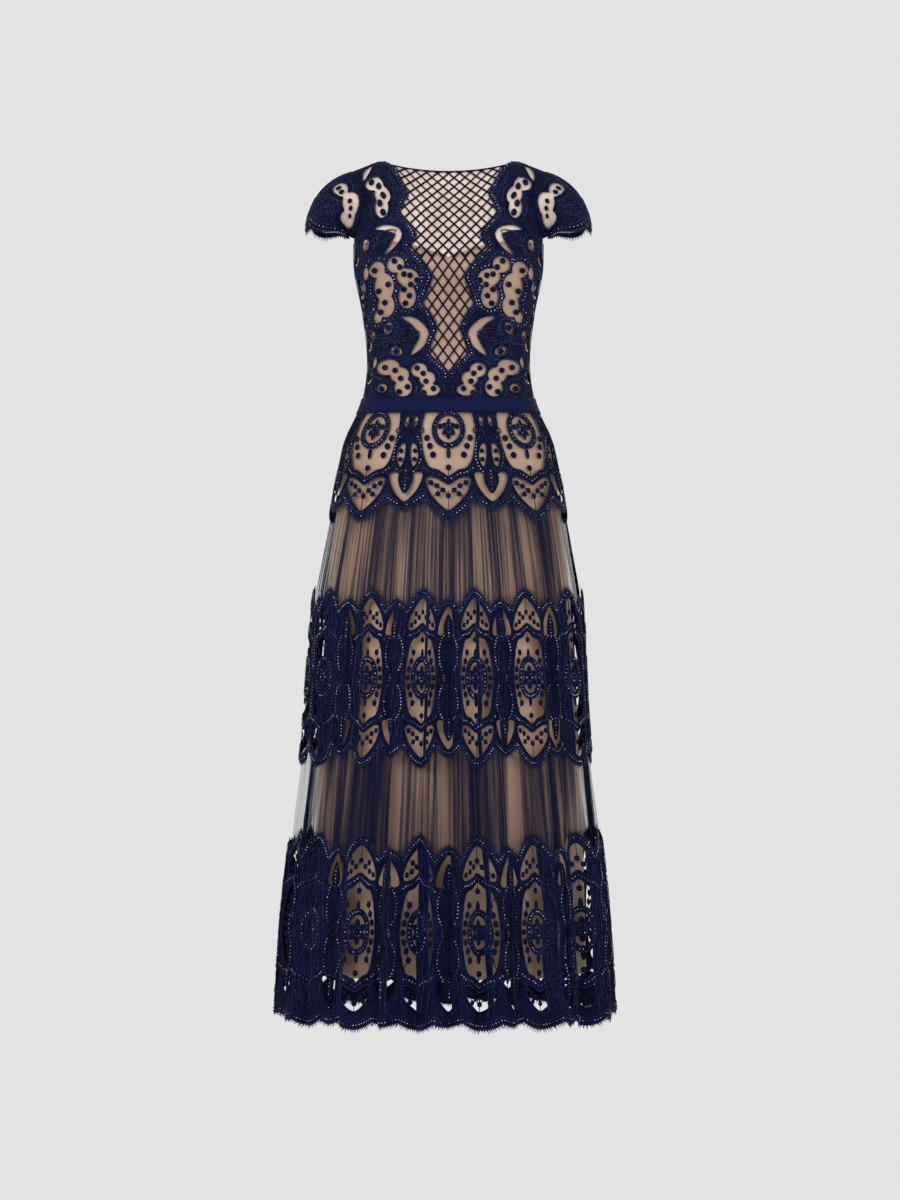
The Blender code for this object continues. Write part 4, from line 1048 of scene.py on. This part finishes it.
def shallow(p, low):
    """The edge of the lace, or the shallower one at the hem."""
    return HALF_LACE - (HALF_LACE - scallop(p)) * (0.35 if low else 1.0)


def moved(points, at, side=1):
    """Points of the edging about the middle of a narrow scallop, or their mirror image there."""
    return np.array(points) * (side, 1.0) + (at, 0)


def bars(*spots):
    """Fine bars of thread from spot to spot, as strips 1.1 mm wide."""
    strips = []
    for start, end in zip(np.array(spots, float), np.array(spots[1:], float)):
        way = (end - start) / np.linalg.norm(end - start)
        off = np.array([-way[1], way[0]]) * 1.1 / 2
        strips.append((np.array([start + off, start - off, end - off, end + off]), True))
    return strips


FIELD = ((0, 70.5), (8, 66), (17, 60.5), (28, 58), (36, 49), (41, 35), (45, 17))
FAN = both_sides([
    (0, 82), (9, 77.5), (18, 72.5), (29, 70.5), (34.5, 75),
    (33, 84), (27.5, 95.5), (19, 106), (9, 115.5), (0, 121),
])
LOW_FAN = both_sides([
    (0, 82), (9, 78), (18, 73.5), (28, 72), (33, 76),
    (31, 84), (25, 93), (16, 101), (8, 107), (0, 110),
])
RAIL = both_sides([(0, 76), (8, 71.5), (17, 66), (28, 64.5), (38, 58)])
PETAL = ((5, 20), (12, 22), (17, 32), (17.5, 45), (11, 57), (6, 50), (3.5, 34))
PETAL_CORD = ((3, 12), (14, 14), (23, 28), (25, 46), (17, 62), (6, 60))
PETAL_SEQUINS = ((15, 12), (20, 20), (22, 32), (22.5, 44), (17.5, 57), (12, 63))
TULIP = both_sides([(0, 61), (15, 62), (25.5, 64.5), (26, 73), (20.5, 87), (11.5, 99.5), (0, 108)])
BUD = both_sides([(0, 55), (8.5, 62), (11, 73), (8, 84), (0, 95)])
DOTS = ((36, 13), (30.5, 25), (25, 38))
FAN_DOTS = ((26.5, 79.5), (17.5, 84), (8.5, 90.5), (16, 96))


def edging(way, gathered, low):
    """Layers, late layers, cords and sequin rows of one repeat, from the midline one way (1 down, -1 up)."""
    fan = smooth(LOW_FAN if low else FAN)
    layers, late, cords, rows = [(fan, False)], [], [(fan, True)], []
    pull = PULL if gathered else 1.0
    for side in (-1, 1):
        late += [(oval(side * x * pull, q, 5.0), True) for x, q in DOTS]
        if gathered:
            late += bars(*((side * x * pull, q) for x, q in ((47, 8), *DOTS, (38, 52))))
        layers += [(oval(side * x, q, 4.2), True) for x, q in FAN_DOTS]
        layers += bars(*((side * x, q) for x, q in ((35, 75), *FAN_DOTS[:3], (0, 99))))
        layers += bars((side * 8.5, 90.5), (side * 24, 101))
    late += [(oval(0, 57, 4.6), True), *bars((0, 57), (0, 72)), (oval(0, 36, 3.6, 8), True)]
    layers += [(oval(0, 99, 4.2), True), *bars((0, 92), (0, 123))]
    for at in (-REPEAT / 2, REPEAT / 2):
        tulip, bud = smooth(moved(TULIP, at)), smooth(moved(BUD, at), 3.6)
        layers += [(tulip, False), (bud, True)]
        cords += [(tulip, True), (bud, True), (bud * 0.6 + (at * 0.4, 30), True)]
        for side in (-1, 1):
            petal = smooth(moved(PETAL, at, side), 3.6)
            if not gathered:
                layers.append((petal, False))
                layers += [(oval(at + side * 11.5, q, 3.6), True) for q in (32, 44.5)]
            cords += [(petal, True), (smooth(moved(PETAL_CORD, at, side)), True)]
            rows.append(moved(PETAL_SEQUINS, at, side))
        rows.append([(at, 62), (at, 88)])
    rows.append(sorted(RAIL))
    reach = np.linspace(-0.5, 0.5, 41)
    edge = pairs(reach * REPEAT, shallow(reach, low))
    rows.append(edge - (0, 6.3))
    cords += [(edge - (0, inset), False) for inset in (1.8, 11.0)]
    layers, late, cords = ([(line * (1, way), kind) for line, kind in some] for some in (layers, late, cords))
    return layers, late, cords, [spaced(np.array(row, float), 5.3) * (1, way) for row in rows]


def drawing(top, low):
    """One whole repeat. It ends above its midline at top, or without a top the edging runs both ways."""
    up = top is None
    half = [(x * (PULL if up else 1.0), q) for x, q in FIELD]
    ring = [*half, (46.5 * (PULL if up else 1.0), 0), *((x, -q) for x, q in reversed(half))]
    field = smooth([*ring, *((-x, q) for x, q in reversed(ring[1:-1]))])
    layers, late, cords, rows = [], [], [(field, True)], []
    for way in (1, -1) if up else (1,):
        for all_of_them, found in zip((layers, late, cords, rows), edging(way, up, low and way > 0)):
            all_of_them += found
    turn = np.arange(30) * math.tau / 30
    rose = pairs(np.sin(turn), np.cos(turn)) * (9.6 + 2.6 * np.cos(6 * turn))[:, None]
    rose = rose * ((1.35, 1.5) if up else (1, 1))
    layers += [(field, False), *late]
    if up:
        layers += [(oval(0, 0, 25, 33, points=28), True), (oval(0, 0, 15, 23, points=22), False)]
        layers += [(rose, True), *((oval(side * 31, 0, 4.6), True) for side in (-1, 1))]
        layers += bars((-22, 0), (-40, 0)) + bars((22, 0), (40, 0))
        loops = [oval(0, 0, 24, 32, points=28), oval(0, 0, 16, 24, points=22), rose]
        rows.append(oval(0, 0, 20.2, 28.2, points=28))
        spots = (-11.5, 0, 3.0, 6.0), (11.5, 0, 3.0, 6.0)
    else:
        layers += [(oval(0, 0, 29, points=28), True), (oval(0, 0, 20, points=22), False)]
        layers += [(rose * (1, 1.25), True), *((oval(side * 14.5, -4, 4.2), True) for side in (-1, 1))]
        loops = [oval(0, 0, 28, points=28), oval(0, 0, 21, points=22), rose * (1, 1.25)]
        rows.append(oval(0, 0, 24.5, points=28))
        spots = (-8, -12, 4.0, 8.0), (8, -12, 4.0, 8.0), (-20, 2, 3, 3), (20, 2, 3, 3)
    loops.append(rose * 0.5)
    rows.append(oval(0, 0, 6.0, points=6))
    for at in (-REPEAT / 2, REPEAT / 2):
        for x, q, wide, tall in spots:
            layers.append((oval(at + x, q, wide, tall), False))
            loops.append(oval(at + x, q, wide + 1.0, tall + 1.0))
        loops += [oval(at, 0, 7, points=12), oval(at, 0, 3, points=8)]
        for k in np.arange(6) * math.tau / 6:
            loops.append(oval(at + 13 * math.sin(k), 13 * math.cos(k), 6, 4.5, 90 - math.degrees(k), 10))
    edge = np.linspace(-0.5, 0.5, 37)
    low_line = pairs(edge * REPEAT, shallow(edge, low))
    if up:
        high_line = pairs(-low_line[:, 0], -scallop(low_line[::-1, 0] / REPEAT))
    else:
        high_line = pairs(np.linspace(REPEAT / 2, -REPEAT / 2, 19), top)
    right = pairs(REPEAT / 2, np.linspace(low_line[-1, 1], high_line[0, 1], 44)[1:-1])
    outline = np.concatenate([low_line, right, high_line, right[::-1] * (-1, 1)])
    return outline, layers, cords + [(loop, True) for loop in loops], rows, low_line, high_line


def fold(x, half, low):
    """Cloth folded over the pattern, at x in a repeat: a strip of it, and cords along it and across it."""
    reach = np.linspace(-150, 150, 26)
    sway = 1.6 * np.sin(reach / 21 + x) if abs(x) < 58 - half else 0 * reach
    right = x + sway + half * (1 + 0.12 * np.sin(reach / 33))
    left = x + sway - half * (1 + 0.15 * np.sin(reach / 27))
    lines = [(x, left, 2), (x, right, 2)]
    for off in np.arange(-half + 6, half - 5, 6.5):
        lines.append((x + off, x + off + 2.4 * np.sin(reach / 8.5 + 1.3 * off), 9))
    cords = []
    for at, line, inset in lines:
        within = (reach < shallow(line / REPEAT, low) - inset) & (reach > inset - scallop(line / REPEAT))
        if within.sum() > 4 and abs(at) < REPEAT / 2:
            cords.append((pairs(line, reach)[within], False))
    return np.concatenate([pairs(right, reach), pairs(left, reach)[::-1]]), cords


# where cloth is folded over the pattern of a band: turn from centre front, width, both in degrees
MIDDLE_FOLDS = (
    (-78, 6), (-58, 15), (-44, 4), (-24, 6), (-10.4, 1.2), (4, 4), (14.2, 1.2), (25, 4),
    (46, 2), (60, 5), (75, 5), (95, 4), (112, 2), (128, 6), (147, 3), (166, 2),
    (186, 4), (203, 2), (222, 7), (241, 2), (262, 4),
)
HEM_FOLDS = (
    (-60, 12), (-44, 2), (-23.4, 2.2), (-10, 5.5), (3, 3.5), (15, 1.5), (25.7, 2.5), (40, 4),
    (52, 1.5), (66, 6), (98, 5), (117, 2), (134, 7), (152, 2.5), (171, 4), (189, 2),
    (207, 7), (226, 2), (245, 5), (266, 3),
)


def lace_tier(kind, surface, folds, seed, leftmost, halves, top=None, low=False):
    """Repeats of the edging joined into a tier, with its folds, cords, sequins, beads and lashes."""
    rng = np.random.default_rng(seed)
    middle, tall, repeats = TIERS[kind]
    around = math.tau * GIRTH
    repeat = around / repeats
    scale = np.array([repeat / REPEAT, -tall / HALF_LACE])
    outline, layers, cords, rows, low_line, high_line = drawing(top, low)
    plain = cut_out(outline, layers, 8.0)
    found, joints, raised, shiny, edges, count = [], [], [], [], [], 0
    for i in range(repeats):
        start = np.array([(i + leftmost) * repeat, middle])
        strips, folded = [], []
        for at, wide in folds:
            away = (math.radians(at) * GIRTH - start[0] + around / 2) % around - around / 2
            x, half = away / scale[0], math.radians(wide) * GIRTH / scale[0] / 2
            if abs(x) < REPEAT / 2 + half + 3:
                strip, lines = fold(x, half, low)
                strips.append((strip, True))
                folded += lines
        points, faces = cut_out(outline, layers + strips, 8.0) if strips else plain
        joints.append(faces + count)
        found.append(points * scale + start)
        count += len(points)
        raised += [(line * scale + start, closed) for line, closed in folded + cords]
        shiny += [row * scale + start for row in rows]
        edges.append((low_line * scale + start, 0.0062))
        if top is None:
            edges.append((high_line * scale + start, 0.0080))
    # the repeats meet point to point, and are joined there
    flat, faces = np.concatenate(found), np.concatenate(joints)[:, ::-1]
    keys = np.round(flat / 2e-5).astype(np.int64)
    _, first, place = np.unique(keys, axis=0, return_index=True, return_inverse=True)
    flat, faces = flat[first], place.reshape(-1)[faces]
    whole = (faces[:, 0] != faces[:, 1]) & (faces[:, 1] != faces[:, 2]) & (faces[:, 0] != faces[:, 2])
    name, replaced = f"{kind}_lace", [f"{kind}_lace_{half}" for half in halves]
    sheet = cloth(name, replaced, "lace", lace, surface, flat, faces[whole])

    ends = (leftmost - 0.5) * repeat + 0.001, (repeats + leftmost - 0.5) * repeat - 0.001
    ceiling = 1 if top is None else middle - top / HALF_LACE * tall - 0.002
    cords = []
    for line, closed in raised:
        if line[:, 0].min() > ends[0] and line[:, 0].max() < ends[1] or not closed:
            cords.append((pairs(line[:, 0], np.minimum(line[:, 1], ceiling)), CORD, closed))
    places = np.concatenate(shiny)
    places = places[places[:, 1] < ceiling - 0.001]
    places = places[rng.random(len(places)) > 0.12]
    spangles = spangled(places, 6, rng, surface, 0.0)
    lashes = Threads(surface, 0.0)
    for line, length in edges:
        lashes.lashes(spaced(line, 0.0023), length, rng)
    sewn = trimmings(name, cords=couched(cords, surface, 0.0), **spangles, lashes=lashes)


lace_tier(
    "hip", hip_round, (), seed=3, leftmost=-3, halves=("front", "back_left", "back_right"),
    top=-35.5,
)
lace_tier(
    "middle", skirt_round, MIDDLE_FOLDS, seed=4, leftmost=-6.5, halves=("front", "back"),
)
lace_tier(
    "hem", skirt_round, HEM_FOLDS, seed=5, leftmost=-7.5, halves=("front", "back"),
    low=True,
)

# ------------------------------------------------------------------------------------- tulle tiers
# Two tiers of soft navy tulle, gathered into the lace above and below them and drawn into fine upright
# gathers. One layer hides about a third of what is behind it, and the gathers hide more.
dull = {"Roughness": 0.8, "Specular IOR Level": 0.05}
tulle, tree, shader, where = start_material("navy nylon tulle", "UV", dull)
# gathers 3 to 8 mm wide, on folds 20 to 40 mm wide
drawn = add_node(tree, "ShaderNodeMapping", {"Vector": where, "Scale": (250.0, 4.0, 1.0)}).outputs[0]
fine = {"Vector": drawn, "Scale": 1.0, "Detail": 3.0, "Distortion": 0.3}
fine = add_node(tree, "ShaderNodeTexNoise", fine).outputs["Fac"]
drawn = add_node(tree, "ShaderNodeMapping", {"Vector": where, "Scale": (32.0, 1.2, 1.0)}).outputs[0]
broad = add_node(tree, "ShaderNodeTexNoise", {"Vector": drawn, "Scale": 1.0, "Detail": 2.0}).outputs["Fac"]
# the lower tier is drawn up in wider folds than the upper one, and denser
place = add_node(tree, "ShaderNodeSeparateXYZ", {"Vector": where})
lower = {"Value": place.outputs["Y"], "From Min": -0.70, "From Max": -0.85}
lower = add_node(tree, "ShaderNodeMapRange", lower).outputs[0]
wider = add_node(tree, "ShaderNodeMath", {0: lower, 1: 0.27, 2: 0.38}, operation="MULTIPLY_ADD").outputs[0]
both = add_node(tree, "ShaderNodeMix", {"Factor": wider, "A": fine, "B": broad}, data_type="FLOAT")
denser = {0: lower, 1: 0.010, 2: both.outputs["Result"]}
denser = add_node(tree, "ShaderNodeMath", denser, operation="MULTIPLY_ADD")
veil = add_node(tree, "ShaderNodeValToRGB", {"Fac": denser.outputs[0]})
for end, position, hides in ((0, 0.43, 0.13), (1, 0.61, 0.78)):
    veil.color_ramp.elements[end].position = position
    veil.color_ramp.elements[end].color = (hides, hides, hides, 1)
# and at the side seams, a quarter of the way round on each side, it is a single clear layer
from_side = add_node(tree, "ShaderNodeMath", {0: place.outputs["X"]}, operation="ABSOLUTE").outputs[0]
from_side = add_node(tree, "ShaderNodeMath", {0: from_side, 1: side_seam}, operation="SUBTRACT").outputs[0]
from_side = add_node(tree, "ShaderNodeMath", {0: from_side}, operation="ABSOLUTE").outputs[0]
clear_side = {"Value": from_side, "From Max": 0.095, "To Min": 0.07, "To Max": 1.0}
clear_side = add_node(tree, "ShaderNodeMapRange", clear_side).outputs[0]
thick = add_node(tree, "ShaderNodeMath", {0: lower, 1: 0.18, 2: 1.0}, operation="MULTIPLY_ADD").outputs[0]
covers = veil.outputs["Color"]
for share in (thick, clear_side):
    covers = add_node(tree, "ShaderNodeMath", {0: covers, 1: share}, operation="MULTIPLY").outputs[0]
tree.links.new(covers, shader.inputs["Alpha"])
navies = (0.0, "#080A1E"), (1.0, "#131838")
add_node(tree, "ShaderNodeValToRGB", {"Fac": fine}, navies, shader.inputs["Base Color"])


def sewn_edge(kind, way, shift=0.5):
    """Just inside a lace tier's low (1) or high (-1) scallops, where the tulle is sewn on and ends."""
    middle, tall, repeats = TIERS[kind]
    repeat = math.tau * GIRTH / repeats
    return lambda a: middle - way * (tall / HALF_LACE * scallop(a / repeat + shift) - 0.0075)


def gathered(top, bottom, gathers, deep, clear):
    """The surface of a tier under the lace: uneven gathers, deeper towards its low edge."""

    def surface(a, b):
        turn, share = a / GIRTH, np.clip((b - top) / (bottom - top), 0, 1)
        depth = deep[0] + (deep[1] - deep[0]) * share
        phase = gathers * turn + 1.7 * np.sin(7 * turn + 3 * share) + 1.1 * np.sin(19 * turn + 1.0)
        ridge = depth * (0.65 + 0.35 * np.sin(11 * turn + 2.0)) * np.sin(phase)
        tuck = 0.0012 * np.abs(2 * share - 1) ** 4
        return skirt(turn, b, ridge - clear - tuck)

    return surface


# two heights between which the gathers deepen, their number and depths, and how far under the lace they lie
end = math.pi * GIRTH - 0.0004
for kind, top, bottom, gathers, deep, clear, low, high, size in (
    ("upper", -0.498, -0.668, 132, (0.0009, 0.0018), 0.0040,
     sewn_edge("middle", -1), sewn_edge("hip", 1, 0.0), (1.40, 0.165)),
    ("lower", -0.868, -1.030, 120, (0.0016, 0.0024), 0.0052,
     sewn_edge("hem", -1), sewn_edge("middle", 1), (1.70, 0.160)),
):
    flat, faces = grid(low, high, level(-end), level(end), gathers * 5 + 1, 9)
    surface = gathered(top, bottom, gathers, deep, clear)
    replaced = [f"{kind}_tulle_front", f"{kind}_tulle_back"]
    tier = cloth(f"{kind}_tulle_tier", replaced, "tulle", tulle, surface, flat, faces, thick=0.0003)

# ---------------------------------------------------------------------------------------------- zip
# A concealed zip at centre back, up to the neck: nylon coil on navy tape behind the slit in the lace, and an
# enamelled slider with a pull tab, which keep their CAD form.
gloss = {"Roughness": 0.35, "Metallic": 0.6}
enamel, tree, shader, where = start_material("enamelled zinc", "Object", gloss)
wear = add_node(tree, "ShaderNodeTexNoise", {"Vector": where, "Scale": 900.0, "Detail": 2.0})
navies = (0.0, "#12163A"), (1.0, "#262C55")
add_node(tree, "ShaderNodeValToRGB", {"Fac": wear.outputs["Fac"]}, navies, shader.inputs["Base Color"])
for node in ("zip_slider", "zip_pull_tab"):
    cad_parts[node].data.materials.clear()
    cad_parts[node].data.materials.append(enamel)

ZIP_LOW, TAPE_HALF, COIL_HALF = -0.470, 0.0044, 0.0016
chain = Threads(back, 0.0)
heights = np.arange(ZIP_LOW + 0.0010, -0.0200, 0.0016)
sways = beside_zip(COIL_HALF)(heights) * np.where(np.arange(len(heights)) % 2, 1, -1)
for a, b in pairs(sways, heights):
    tooth = np.array([(a * -0.4, b), (a, b + 0.0003), (a, b + 0.0010), (a * -0.4, b + 0.0012)])
    chain.cord(tooth, 0.00045, closed=False)
coil = chain.piece("zip_coil", cord_thread, "zip")
flat, faces = grid(level(ZIP_LOW), level(NECKLINE), beside_zip(-TAPE_HALF), beside_zip(TAPE_HALF), 5, 60)
tape = cloth("zip_tape", ["zip_chain"], "zip", grosgrain, back, flat, faces, -0.0003, 0.0006)
